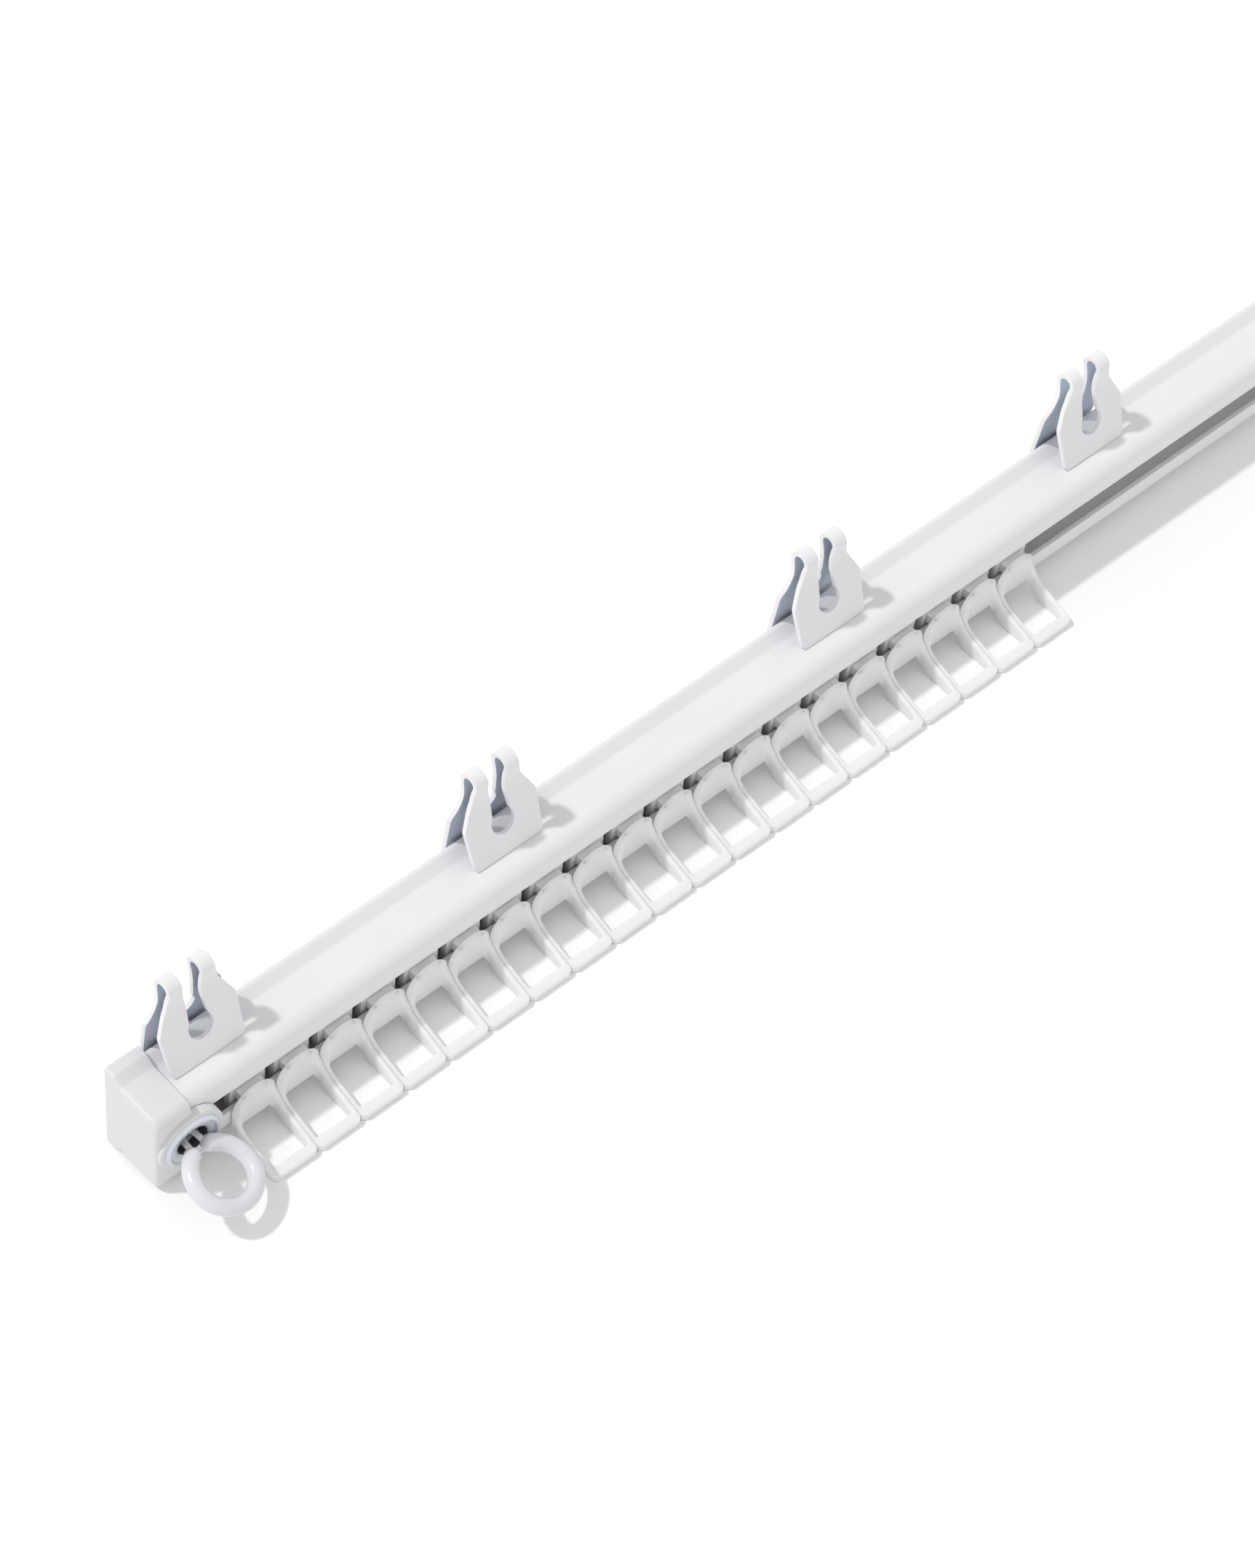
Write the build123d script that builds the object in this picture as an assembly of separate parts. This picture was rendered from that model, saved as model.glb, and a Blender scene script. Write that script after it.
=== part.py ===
from build123d import *
import math
import os

# Curtain track, lying on a table with its slot facing the front.
# X runs along the rail, Y to the back and Z up. Working coordinates have X = 0 at mid-length,
# Y = 0 at the rail's back plane and Z = 0 at the table. Everything is shifted once, at the end,
# so that the origin is under the middle of the whole.

# Rail: a roll-formed C-section with a flange ridge along both back edges.
RAIL_LENGTH = 1000.0
RAIL_DEPTH = 10.0
RAIL_FACE_HEIGHT = 14.9
RAIL_WALL = 0.9
RIDGE_RISE = 1.1
RIDGE_LAND = 0.8
RIDGE_SLOPE = 1.7
RIDGE_EDGE_RADIUS = 0.35
RIDGE_FOOT_RADIUS = 1.2
SHOULDER_RADIUS = 2.4
SLOT_WIDTH = 5.1

# End caps: a moulded sleeve over each end, with a round boss in front of the slot.
CAP_WALL = 0.95
CAP_FIT = 0.05
CAP_END_WALL = 1.2
CAP_LENGTH = 6.2
CAP_CORNER_RADIUS = 1.5
CAP_END_RADIUS = 0.7
BOSS_RADIUS = 5.7
BOSS_FROM_END = 5.9
BOSS_STAND = 1.6
BOSS_RAIL_GAP = 0.1
BOSS_EDGE_RADIUS = 0.3

# Grommets: a turned metal eyelet pressed into each boss.
GROMMET_RADIUS = 4.9
GROMMET_RIM = 0.55
GROMMET_BARREL_RADIUS = 4.0
GROMMET_HOLE_RADIUS = 2.4
GROMMET_FUNNEL_RADIUS = 4.3
GROMMET_DISC = 0.25
GROMMET_FUNNEL_DEPTH = 0.7

# Eyes: a coated wire ring whose two bare ends pass the grommet and are bent apart behind the lips.
EYE_RING_RADIUS = 5.0
EYE_COAT_RADIUS = 1.33
EYE_WIRE_RADIUS = 0.98
EYE_SEAM = 0.08
EYE_BEND_RADIUS = 1.45
EYE_START_GAP = 0.6
EYE_REACH = 5.85
EYE_DROOP = 20.5
EYE_SWING = 6.5
EYE_ROLL = -15.0
EYE_END_BEND = 1.13
EYE_END_REACH = 3.6
EYE_LIP_GAP = 0.4

# Clips: one strip of spring sheet folded over itself and slotted with a keyhole.
CLIP_SHEET = 0.8
CLIP_LEAN = 8.0
CLIP_BULB_RADIUS = 1.4
CLIP_BULB_HEIGHT = 14.35
CLIP_BULB_BACK = -0.5
CLIP_WAIST_DROP = 3.1
CLIP_WAIST_HALF = 0.93
CLIP_FRONT_SPREAD = 12.8
CLIP_BACK_SPREAD = 17.0
CLIP_BACK_GAP = 1.0
CLIP_KNEE_RADIUS = 8.0
CLIP_FOOT_HALF = 6.45
CLIP_WIDE_HALF = 6.8
CLIP_WIDE_HEIGHT = 7.4
CLIP_SHOULDER_HALF = 4.6
CLIP_SHOULDER_HEIGHT = 11.7
CLIP_TOP_HALF = 4.05
CLIP_CORNER_RADIUS = 0.9
CLIP_PRONG_RADIUS = 1.8
CLIP_SEAT_GAP = 0.1
CLIP_HOOK_GAP = 0.1
CLIP_HOOK_BEND = 0.5
CLIP_HOOK_REACH = 1.3
KEYHOLE_RADIUS = 2.15
KEYHOLE_HEIGHT = 5.7
KEYHOLE_NECK_HALF = 1.45
KEYHOLE_NECK_HEIGHT = 10.2
KEYHOLE_NECK_RADIUS = 6.45
KEYHOLE_TOP_HALF = 1.8
CLIP_CENTRES = (13.5, 69.5, 135.0, 191.9)

# Gliders: a T-head in the channel, a neck through the slot, and a scooped loop whose back is an
# arched plate in front of the slot.
GLIDER_COUNT = 20
GLIDER_HALF_WIDTH = 3.95
GLIDER_PLAY = 0.2
GLIDER_BOSS_GAP = 2.55
GLIDER_LIP_GAP = 0.2
GLIDER_HEAD_GAP = 0.3
GLIDER_HEAD_THICKNESS = 1.3
GLIDER_HEAD_HEIGHT = 9.0
GLIDER_HEAD_HALF_WIDTH = 3.2
GLIDER_NECK_HALF_WIDTH = 2.2
GLIDER_NECK_HEIGHT = 2.0
GLIDER_SLOT_GAP = 0.3
LOOP_REACH = 10.2
LOOP_ARCH_WALL = 0.75
LOOP_ARCH_COVER = 0.95
LOOP_ARCH_BEVEL = 0.6
LOOP_BAR_WALL = 1.7
LOOP_SIDE_WALL = 0.85
LOOP_CORNER_RADIUS = 0.8
LOOP_SPRING_RUN = 2.65
LOOP_SPRING_HEIGHT = 3.25
LOOP_BAR_TOP = 1.35
LOOP_SCOOP_RADIUS = 3.4

# Values worked out from the sizes above.
TOTAL_LENGTH = RAIL_LENGTH + 2 * CAP_END_WALL
HALF_LENGTH = TOTAL_LENGTH / 2
FACE_HALF = RAIL_FACE_HEIGHT / 2
RIDGE_HALF = FACE_HALF + RIDGE_RISE
AXIS_Z = CAP_WALL + CAP_FIT + RIDGE_HALF
TOP_FACE_Z = AXIS_Z + FACE_HALF
SLOT_BOTTOM_Z = AXIS_Z - SLOT_WIDTH / 2
RIDGE_MITRE = math.tan(math.atan2(RIDGE_RISE, RIDGE_SLOPE) / 2)
BOSS_FRONT = RAIL_DEPTH + BOSS_STAND
PIVOT_Y = -BOSS_FRONT - EYE_START_GAP
GLIDER_PITCH = 2 * GLIDER_HALF_WIDTH + GLIDER_PLAY
GLIDER_FIRST = BOSS_FROM_END + BOSS_RADIUS + GLIDER_BOSS_GAP + GLIDER_HALF_WIDTH
LOOP_BACK_Y = -RAIL_DEPTH - GLIDER_LIP_GAP
LOOP_FRONT_Y = -RAIL_DEPTH - LOOP_REACH
NECK_Z = SLOT_BOTTOM_Z + GLIDER_SLOT_GAP
ARCH_TOP_Z = NECK_Z + GLIDER_NECK_HEIGHT + LOOP_ARCH_COVER
ARCH_AXIS_Z = ARCH_TOP_Z - GLIDER_HALF_WIDTH
REACH_PAST = 2 * (RAIL_FACE_HEIGHT + CLIP_BULB_HEIGHT)
NEAR = 0.01
CORNER_SEARCH = 0.2


def hat_outline(grow, edge_radius, foot_radius, shoulder_radius):
    """Closed hat-shaped section in YZ: a box with a sloped ridge along both back edges."""
    ridge = RIDGE_HALF + grow
    face = FACE_HALF + grow
    land = RIDGE_LAND + RIDGE_MITRE * grow
    foot = land + RIDGE_SLOPE
    front = RAIL_DEPTH + grow
    upper = [(grow, ridge), (-land, ridge), (-foot, face), (-front, face)]
    lower = [(y, -z) for y, z in reversed(upper)]
    with BuildSketch(Plane.YZ) as section:
        with BuildLine():
            Polyline(*upper, *lower, close=True)
        make_face()
        corners = section.vertices()
        fillet([v for v in corners if abs(v.Z) > ridge - NEAR], edge_radius)
        fillet([v for v in section.vertices() if abs(v.Y + foot) < NEAR], foot_radius)
        fillet([v for v in section.vertices() if abs(v.Y + front) < NEAR], shoulder_radius)
    return section.sketch.moved(Location((0, 0, AXIS_Z)))


def channel_outline():
    """Inside of the C-section, one wall in from the faces."""
    depth = RAIL_DEPTH - 2 * RAIL_WALL
    height = RAIL_FACE_HEIGHT - 2 * RAIL_WALL
    with BuildSketch(Plane.YZ) as section:
        Rectangle(depth, height)
        front = [v for v in section.vertices() if v.Y < 0]
        fillet(front, SHOULDER_RADIUS - RAIL_WALL)
    return section.sketch.moved(Location((0, -RAIL_DEPTH / 2, AXIS_Z)))


def make_rail():
    """The C-section, drawn along the whole length."""
    outside = hat_outline(0, RIDGE_EDGE_RADIUS, RIDGE_FOOT_RADIUS, SHOULDER_RADIUS)
    rail = extrude(outside, RAIL_LENGTH / 2, dir=(1, 0, 0), both=True)
    rail -= extrude(channel_outline(), RAIL_LENGTH, dir=(1, 0, 0), both=True)
    slot = Box(2 * RAIL_LENGTH, 2 * RAIL_WALL, SLOT_WIDTH)
    return rail - slot.moved(Location((0, -RAIL_DEPTH, AXIS_Z)))


def front_cylinder(radius, back_y, front_y, x):
    """Cylinder on an axis along Y, between two planes, level with the slot."""
    length = back_y - front_y
    body = Cylinder(radius, length, rotation=(90, 0, 0))
    return body.moved(Location((x, (back_y + front_y) / 2, AXIS_Z)))


def make_cap():
    """Left end cap: a closed sleeve in the rail's own outline, and the boss."""
    outer = hat_outline(CAP_FIT + CAP_WALL, CAP_END_RADIUS, CAP_END_RADIUS, CAP_CORNER_RADIUS)
    sleeve = extrude(outer, CAP_LENGTH, dir=(1, 0, 0)).moved(Location((-HALF_LENGTH, 0, 0)))
    end_edges = [e for e in sleeve.edges() if abs(e.center().X + HALF_LENGTH) < NEAR]
    sleeve = fillet(end_edges, CAP_END_RADIUS)
    cavity = hat_outline(CAP_FIT, RIDGE_EDGE_RADIUS, RIDGE_FOOT_RADIUS, SHOULDER_RADIUS)
    cavity = extrude(cavity, CAP_LENGTH, dir=(1, 0, 0))
    sleeve -= cavity.moved(Location((-HALF_LENGTH + CAP_END_WALL, 0, 0)))
    x = -HALF_LENGTH + BOSS_FROM_END
    boss = front_cylinder(BOSS_RADIUS, -RAIL_DEPTH - BOSS_RAIL_GAP, -BOSS_FRONT, x)
    rim = [e for e in boss.edges() if abs(e.center().Y + BOSS_FRONT) < NEAR]
    cap = sleeve + fillet(rim, BOSS_EDGE_RADIUS)
    return cap - front_cylinder(GROMMET_BARREL_RADIUS, 0, -2 * BOSS_FRONT, x)


def make_grommet():
    """Left grommet: a rolled rim, a funnel and a barrel, turned about the boss axis."""
    back = -RAIL_DEPTH - BOSS_RAIL_GAP
    face = -BOSS_FRONT
    dish = face - GROMMET_DISC
    middle = (GROMMET_RADIUS + GROMMET_FUNNEL_RADIUS) / 2
    throat = face + GROMMET_FUNNEL_DEPTH
    turn = GROMMET_HOLE_RADIUS + throat - dish
    with BuildSketch(Plane.XY) as half:
        with BuildLine():
            Polyline((GROMMET_HOLE_RADIUS, throat), (GROMMET_HOLE_RADIUS, back),
                     (GROMMET_BARREL_RADIUS, back), (GROMMET_BARREL_RADIUS, face), (GROMMET_RADIUS, face))
            ThreePointArc((GROMMET_RADIUS, face), (middle, face - GROMMET_RIM), (GROMMET_FUNNEL_RADIUS, dish))
            Line((GROMMET_FUNNEL_RADIUS, dish), (turn, dish))
            TangentArc((turn, dish), (GROMMET_HOLE_RADIUS, throat), tangent=(-1, 0))
        make_face()
    turned = revolve(half.sketch, Axis.Y)
    return turned.moved(Location((-HALF_LENGTH + BOSS_FROM_END, 0, AXIS_Z)))


def wire_end(side, pivot_x):
    """One bare end: straight through the grommet and the slot, then bent away from its twin."""
    offset = side * (EYE_WIRE_RADIUS + EYE_SEAM / 2)
    inner_y = -RAIL_DEPTH + RAIL_WALL + EYE_LIP_GAP + EYE_WIRE_RADIUS
    start = Vector(pivot_x + offset, PIVOT_Y, AXIS_Z)
    corner = Vector(pivot_x + offset, inner_y, AXIS_Z)
    tip = Vector(pivot_x + side * EYE_END_REACH, inner_y, AXIS_Z)
    path = FilletPolyline(start, corner, tip, radius=EYE_END_BEND)
    section = Plane(origin=start, z_dir=(0, 1, 0)) * Circle(EYE_WIRE_RADIUS)
    return sweep(section, path=path) + Sphere(EYE_WIRE_RADIUS).moved(Location(start))


def ring_half():
    """Half of the coated ring in its own XY plane: a leg, an outward bend and half the circle."""
    leg_x = EYE_COAT_RADIUS + EYE_SEAM / 2
    bend_x = leg_x + EYE_BEND_RADIUS
    span = EYE_RING_RADIUS + EYE_BEND_RADIUS
    bend_y = EYE_REACH - math.sqrt(span ** 2 - bend_x ** 2)
    share = EYE_RING_RADIUS / span
    join = (bend_x * share, EYE_REACH - (EYE_REACH - bend_y) * share)
    to_join = math.atan2(join[1] - bend_y, join[0] - bend_x)
    halfway = (math.pi + to_join) / 2
    bend_mid = (bend_x + EYE_BEND_RADIUS * math.cos(halfway), bend_y + EYE_BEND_RADIUS * math.sin(halfway))
    leg = Line((leg_x, 0), (leg_x, bend_y))
    bend = ThreePointArc((leg_x, bend_y), bend_mid, join)
    circle = ThreePointArc(join, (EYE_RING_RADIUS, EYE_REACH), (0, EYE_REACH + EYE_RING_RADIUS))
    path = Wire([leg.edge(), bend.edge(), circle.edge()])
    section = Plane(origin=(leg_x, 0, 0), z_dir=(0, 1, 0)) * Circle(EYE_COAT_RADIUS)
    return sweep(section, path=path) + Sphere(EYE_COAT_RADIUS).moved(Location((leg_x, 0, 0)))


def make_eye():
    """Left eye: the coated ring, drooping from the grommet, on its two bare ends."""
    pivot_x = -HALF_LENGTH + BOSS_FROM_END
    half = ring_half()
    ring = half + half.mirror(Plane.YZ)
    ring = ring.rotate(Axis.Y, EYE_ROLL)
    ring = ring.rotate(Axis.X, 180 + EYE_DROOP)
    ring = ring.rotate(Axis.Z, EYE_SWING)
    ring = ring.moved(Location((pivot_x, PIVOT_Y, AXIS_Z)))
    return ring + wire_end(1, pivot_x) + wire_end(-1, pivot_x)


def own(s, t):
    """A point of the clip's leaning frame, s to the back and t up from the bulb, in YZ."""
    lean = math.radians(CLIP_LEAN)
    y = CLIP_BULB_BACK + s * math.cos(lean) + t * math.sin(lean)
    z = TOP_FACE_Z + CLIP_BULB_HEIGHT - s * math.sin(lean) + t * math.cos(lean)
    return Vector(0, y, z)


def waist_radius():
    """Radius of the waist bend that is tangent to the bulb."""
    numerator = CLIP_WAIST_HALF ** 2 + CLIP_WAIST_DROP ** 2 - CLIP_BULB_RADIUS ** 2
    return numerator / (2 * (CLIP_BULB_RADIUS - CLIP_WAIST_HALF))


def leg_start(side, spread):
    """Where a straight leg leaves the waist bend, and the direction it then takes."""
    radius = waist_radius()
    angle = math.radians(spread)
    inset = CLIP_WAIST_HALF + radius * (1 - math.cos(angle))
    start = own(side * inset, -CLIP_WAIST_DROP - radius * math.sin(angle))
    below = own(side * (inset + math.sin(angle)), -CLIP_WAIST_DROP - radius * math.sin(angle) - math.cos(angle))
    return start, below - start


def waist_arc(side, spread):
    """Arc from the bulb's side through the waist to the start of a leg."""
    radius = waist_radius()
    centre_s = side * (CLIP_WAIST_HALF + radius)
    share = CLIP_BULB_RADIUS / (CLIP_BULB_RADIUS + radius)
    join = own(centre_s * share, -CLIP_WAIST_DROP * share)
    middle = own(side * CLIP_WAIST_HALF, -CLIP_WAIST_DROP)
    return ThreePointArc(join, middle, leg_start(side, spread)[0]), join


def clip_path():
    """Middle line of the folded sheet in YZ, from the front foot to the hook under the rail."""
    front_arc, front_join = waist_arc(-1, CLIP_FRONT_SPREAD)
    back_arc, back_join = waist_arc(1, CLIP_BACK_SPREAD)
    front_top, front_way = leg_start(-1, CLIP_FRONT_SPREAD)
    back_top, back_way = leg_start(1, CLIP_BACK_SPREAD)
    foot = front_top + front_way * ((front_top.Z - TOP_FACE_Z + CLIP_SHEET) / -front_way.Z)
    bulb = ThreePointArc(front_join, own(0, CLIP_BULB_RADIUS), back_join)
    back_y = CLIP_BACK_GAP + CLIP_SHEET / 2
    knee = back_top + back_way * ((back_y - back_top.Y) / back_way.Y)
    hook_z = CAP_WALL + CAP_FIT - CLIP_HOOK_GAP - CLIP_SHEET / 2
    down = FilletPolyline(back_top, knee, (0, back_y, hook_z), (0, -CLIP_HOOK_REACH, hook_z),
                          radius=[CLIP_KNEE_RADIUS, CLIP_HOOK_BEND + CLIP_SHEET / 2])
    edges = [Line(foot, front_top).edge(), front_arc.edge(), bulb.edge(), back_arc.edge()]
    return Wire(edges + down.edges()), foot, front_way


def clip_outline():
    """Front view of the sheet: waisted prongs above, broad plates below."""
    z = TOP_FACE_Z
    half = [(CLIP_FOOT_HALF, 0), (CLIP_FOOT_HALF, z), (CLIP_WIDE_HALF, z + CLIP_WIDE_HEIGHT),
            (CLIP_SHOULDER_HALF, z + CLIP_SHOULDER_HEIGHT), (CLIP_TOP_HALF, z + CLIP_BULB_HEIGHT),
            (CLIP_TOP_HALF, z + REACH_PAST)]
    mirrored = [(-x, height) for x, height in reversed(half)]
    with BuildSketch(Plane.XZ) as front:
        with BuildLine():
            Polyline(*half, *mirrored, close=True)
        make_face()
        bends = [v for v in front.vertices() if z + NEAR < v.Z < z + REACH_PAST - NEAR]
        fillet(bends, CLIP_PRONG_RADIUS)
    return extrude(front.sketch, REACH_PAST, both=True)


def keyhole():
    """Keyhole in front view: a round hole, a neck, and a slot that opens over the fold."""
    z = TOP_FACE_Z
    neck = z + KEYHOLE_NECK_HEIGHT
    top = z + CLIP_BULB_HEIGHT
    half = [(KEYHOLE_TOP_HALF, z + KEYHOLE_HEIGHT), (KEYHOLE_NECK_HALF, neck),
            (KEYHOLE_TOP_HALF, top), (KEYHOLE_TOP_HALF, z + REACH_PAST)]
    mirrored = [(-x, height) for x, height in reversed(half)]
    with BuildSketch(Plane.XZ) as front:
        with BuildLine():
            Polyline(*half, *mirrored, close=True)
        make_face()
        fillet([v for v in front.vertices() if abs(v.Z - neck) < NEAR], KEYHOLE_NECK_RADIUS)
        with Locations((0, z + KEYHOLE_HEIGHT)):
            Circle(KEYHOLE_RADIUS)
    return extrude(front.sketch, REACH_PAST, both=True)


def make_clip():
    """One clip at X = 0: the folded strip, trimmed to its outline, with the keyhole cut through."""
    path, foot, way = clip_path()
    section = Plane(origin=foot, x_dir=(1, 0, 0), z_dir=way * -1)
    section = section * Rectangle(3 * CLIP_WIDE_HALF, CLIP_SHEET)
    strip = sweep(section, path=path) & clip_outline()
    seat_z = TOP_FACE_Z + CLIP_SEAT_GAP
    under_foot = Box(REACH_PAST, RAIL_DEPTH, RAIL_FACE_HEIGHT)
    under_foot = under_foot.moved(Location((0, -RAIL_DEPTH / 2 - RIDGE_LAND, seat_z - RAIL_FACE_HEIGHT / 2)))
    hook_top_z = CAP_WALL + CAP_FIT
    keep_hook = Box(REACH_PAST, REACH_PAST, 2 * hook_top_z)
    clip = strip - (under_foot - keep_hook) - keyhole()
    corners = [e for e in clip.edges() if seat_z - CORNER_SEARCH < e.center().Z < seat_z + CLIP_SHEET
               and abs(e.center().X) > CLIP_FOOT_HALF - CORNER_SEARCH and e.center().Y < -RIDGE_LAND
               and e.length < CLIP_SHEET + 2 * CORNER_SEARCH]
    return fillet(corners, CLIP_CORNER_RADIUS)


def loop_plan():
    """Plan of the loop, extruded: a square ring with rounded front corners and a rounded throat."""
    middle = (LOOP_BACK_Y + LOOP_FRONT_Y) / 2
    inner_back = LOOP_BACK_Y - LOOP_ARCH_WALL
    inner_front = LOOP_FRONT_Y + LOOP_BAR_WALL
    with BuildSketch(Plane.XY) as plan:
        with Locations((0, middle)):
            Rectangle(2 * GLIDER_HALF_WIDTH, LOOP_BACK_Y - LOOP_FRONT_Y)
        fillet([v for v in plan.vertices() if v.Y < middle], LOOP_CORNER_RADIUS)
    with BuildSketch(Plane.XY) as throat:
        with Locations((0, (inner_back + inner_front) / 2)):
            Rectangle(2 * (GLIDER_HALF_WIDTH - LOOP_SIDE_WALL), inner_back - inner_front)
        fillet([v for v in throat.vertices() if v.Y > middle], LOOP_CORNER_RADIUS)
    return extrude(plan.sketch - throat.sketch, ARCH_TOP_Z)


def loop_side():
    """Side view: the back plate, sides that spring down from it to the bar, and the scoop below."""
    back = LOOP_BACK_Y
    plate = LOOP_BACK_Y - LOOP_ARCH_WALL
    spring = (plate - LOOP_SPRING_RUN, LOOP_SPRING_HEIGHT)
    bar_top = (LOOP_FRONT_Y, LOOP_BAR_TOP)
    way = (spring[0] - bar_top[0], spring[1] - bar_top[1])
    scoop_end = plate - LOOP_SCOOP_RADIUS
    with BuildSketch(Plane.YZ) as side:
        with BuildLine():
            Polyline((plate, LOOP_SCOOP_RADIUS), (back, LOOP_SCOOP_RADIUS), (back, ARCH_TOP_Z),
                     (plate, ARCH_TOP_Z), (plate, ARCH_AXIS_Z))
            TangentArc(spring, (plate, ARCH_AXIS_Z), tangent=way)
            Polyline(spring, bar_top, (LOOP_FRONT_Y, 0), (scoop_end, 0))
            TangentArc((scoop_end, 0), (plate, LOOP_SCOOP_RADIUS), tangent=(1, 0))
        make_face()
    return extrude(side.sketch, 2 * GLIDER_HALF_WIDTH, dir=(1, 0, 0), both=True)


def loop_front():
    """Front view of the loop: straight sides under a round arch."""
    with BuildSketch(Plane.XZ) as front:
        with Locations((0, ARCH_AXIS_Z / 2)):
            Rectangle(2 * GLIDER_HALF_WIDTH, ARCH_AXIS_Z)
        with Locations((0, ARCH_AXIS_Z)):
            Circle(GLIDER_HALF_WIDTH)
    return extrude(front.sketch, REACH_PAST, both=True)


def arch_bevel():
    """What the bevel takes off the front edge of the arch, turned over the arch's axis."""
    plate = LOOP_BACK_Y - LOOP_ARCH_WALL
    inside = GLIDER_HALF_WIDTH - LOOP_ARCH_BEVEL
    with BuildSketch(Plane.XY) as corner:
        with BuildLine():
            Polyline((GLIDER_HALF_WIDTH, plate + LOOP_ARCH_BEVEL), (inside, plate), (inside, LOOP_FRONT_Y),
                     (2 * GLIDER_HALF_WIDTH, LOOP_FRONT_Y), (2 * GLIDER_HALF_WIDTH, plate + LOOP_ARCH_BEVEL),
                     close=True)
        make_face()
    over = revolve(corner.sketch, Axis.Y, revolution_arc=-180)
    return over.moved(Location((0, 0, ARCH_AXIS_Z)))


def make_glider():
    """One glider at X = 0."""
    loop = (loop_plan() & loop_side() & loop_front()) - arch_bevel()
    head_front = -RAIL_DEPTH + RAIL_WALL + GLIDER_HEAD_GAP
    neck_back = LOOP_BACK_Y - LOOP_ARCH_WALL / 2
    neck = Box(2 * GLIDER_NECK_HALF_WIDTH, head_front - neck_back, GLIDER_NECK_HEIGHT)
    neck = neck.moved(Location((0, (head_front + neck_back) / 2, NECK_Z + GLIDER_NECK_HEIGHT / 2)))
    head = Box(2 * GLIDER_HEAD_HALF_WIDTH, GLIDER_HEAD_THICKNESS, GLIDER_HEAD_HEIGHT)
    head = head.moved(Location((0, head_front + GLIDER_HEAD_THICKNESS / 2, AXIS_Z)))
    return loop + neck + head


def front_reach():
    """How far the eyes stand out in front of the back plane."""
    droop = math.radians(EYE_DROOP)
    swing = math.radians(EYE_SWING)
    roll = math.radians(EYE_ROLL)
    centre = EYE_REACH * math.cos(droop) * math.cos(swing) - PIVOT_Y
    tilt = math.sin(roll) * math.sin(swing) + math.cos(roll) * math.sin(droop) * math.cos(swing)
    return centre + EYE_RING_RADIUS * math.sqrt(1 - tilt ** 2) + EYE_COAT_RADIUS


def back_reach():
    """How far the clips stand out behind the back plane."""
    return max(CLIP_BACK_GAP + CLIP_SHEET, CAP_FIT + CAP_WALL)


# Exports every node, shifted so that the origin is under the middle of the whole.
os.makedirs("parts", exist_ok=True)
nodes = {}
nodes["rail"] = make_rail()
for side, flip in (("left", False), ("right", True)):
    for name, maker in (("end_cap", make_cap), ("grommet", make_grommet), ("eye", make_eye)):
        piece = maker()
        nodes[f"{name}_{side}"] = piece.mirror(Plane.YZ) if flip else piece
clip = make_clip()
for number, centre in enumerate(CLIP_CENTRES, start=1):
    nodes[f"clip_{number}"] = clip.moved(Location((centre - HALF_LENGTH, 0, 0)))
glider = make_glider()
for number in range(GLIDER_COUNT):
    x = GLIDER_FIRST + number * GLIDER_PITCH - HALF_LENGTH
    nodes[f"glider_{number + 1:02d}"] = glider.moved(Location((x, 0, 0)))
centred = Location((0, (front_reach() - back_reach()) / 2, 0))
for name, shape in nodes.items():
    export_step(shape.moved(centred), f"parts/{name}.step")
print("shift in Y:", round((front_reach() - back_reach()) / 2, 4))
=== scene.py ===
# %% [markdown]
# A curtain track is a slim painted rail with small things on it: moulded end caps, a ring eye,
# folded spring clips and a row of plastic gliders. The shapes are simple, so the picture stands
# or falls with soft edges, thin walls and quiet white finishes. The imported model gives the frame:
# where each piece is and what it moves with. Every surface that shows is made again here, finer.

# %% Load the frame
import math
import bmesh
import bpy
import numpy as np
from mathutils import Matrix, Vector


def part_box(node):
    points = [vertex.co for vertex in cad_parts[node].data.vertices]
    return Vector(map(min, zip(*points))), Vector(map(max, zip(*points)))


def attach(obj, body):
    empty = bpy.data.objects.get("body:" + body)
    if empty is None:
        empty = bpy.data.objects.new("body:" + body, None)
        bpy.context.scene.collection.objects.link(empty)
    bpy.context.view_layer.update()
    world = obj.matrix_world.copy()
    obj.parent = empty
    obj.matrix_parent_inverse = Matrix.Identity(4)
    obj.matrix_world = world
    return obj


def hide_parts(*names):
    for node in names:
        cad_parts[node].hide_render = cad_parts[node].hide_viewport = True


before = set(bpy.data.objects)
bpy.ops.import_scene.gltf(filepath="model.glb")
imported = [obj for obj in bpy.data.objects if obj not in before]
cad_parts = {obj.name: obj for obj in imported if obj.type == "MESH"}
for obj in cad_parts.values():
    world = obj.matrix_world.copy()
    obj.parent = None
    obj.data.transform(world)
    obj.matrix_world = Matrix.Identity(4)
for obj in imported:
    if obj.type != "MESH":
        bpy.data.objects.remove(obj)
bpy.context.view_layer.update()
MM = 0.001

# %% [markdown]
# The rail's section is the ruler for everything else. Its numbers are real sizes in millimetres,
# measured from the back plane and from the middle of the slot. The two places that turn them into
# the frame's metres are read from the rail's own box, so nothing has to be fitted by eye.

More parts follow.
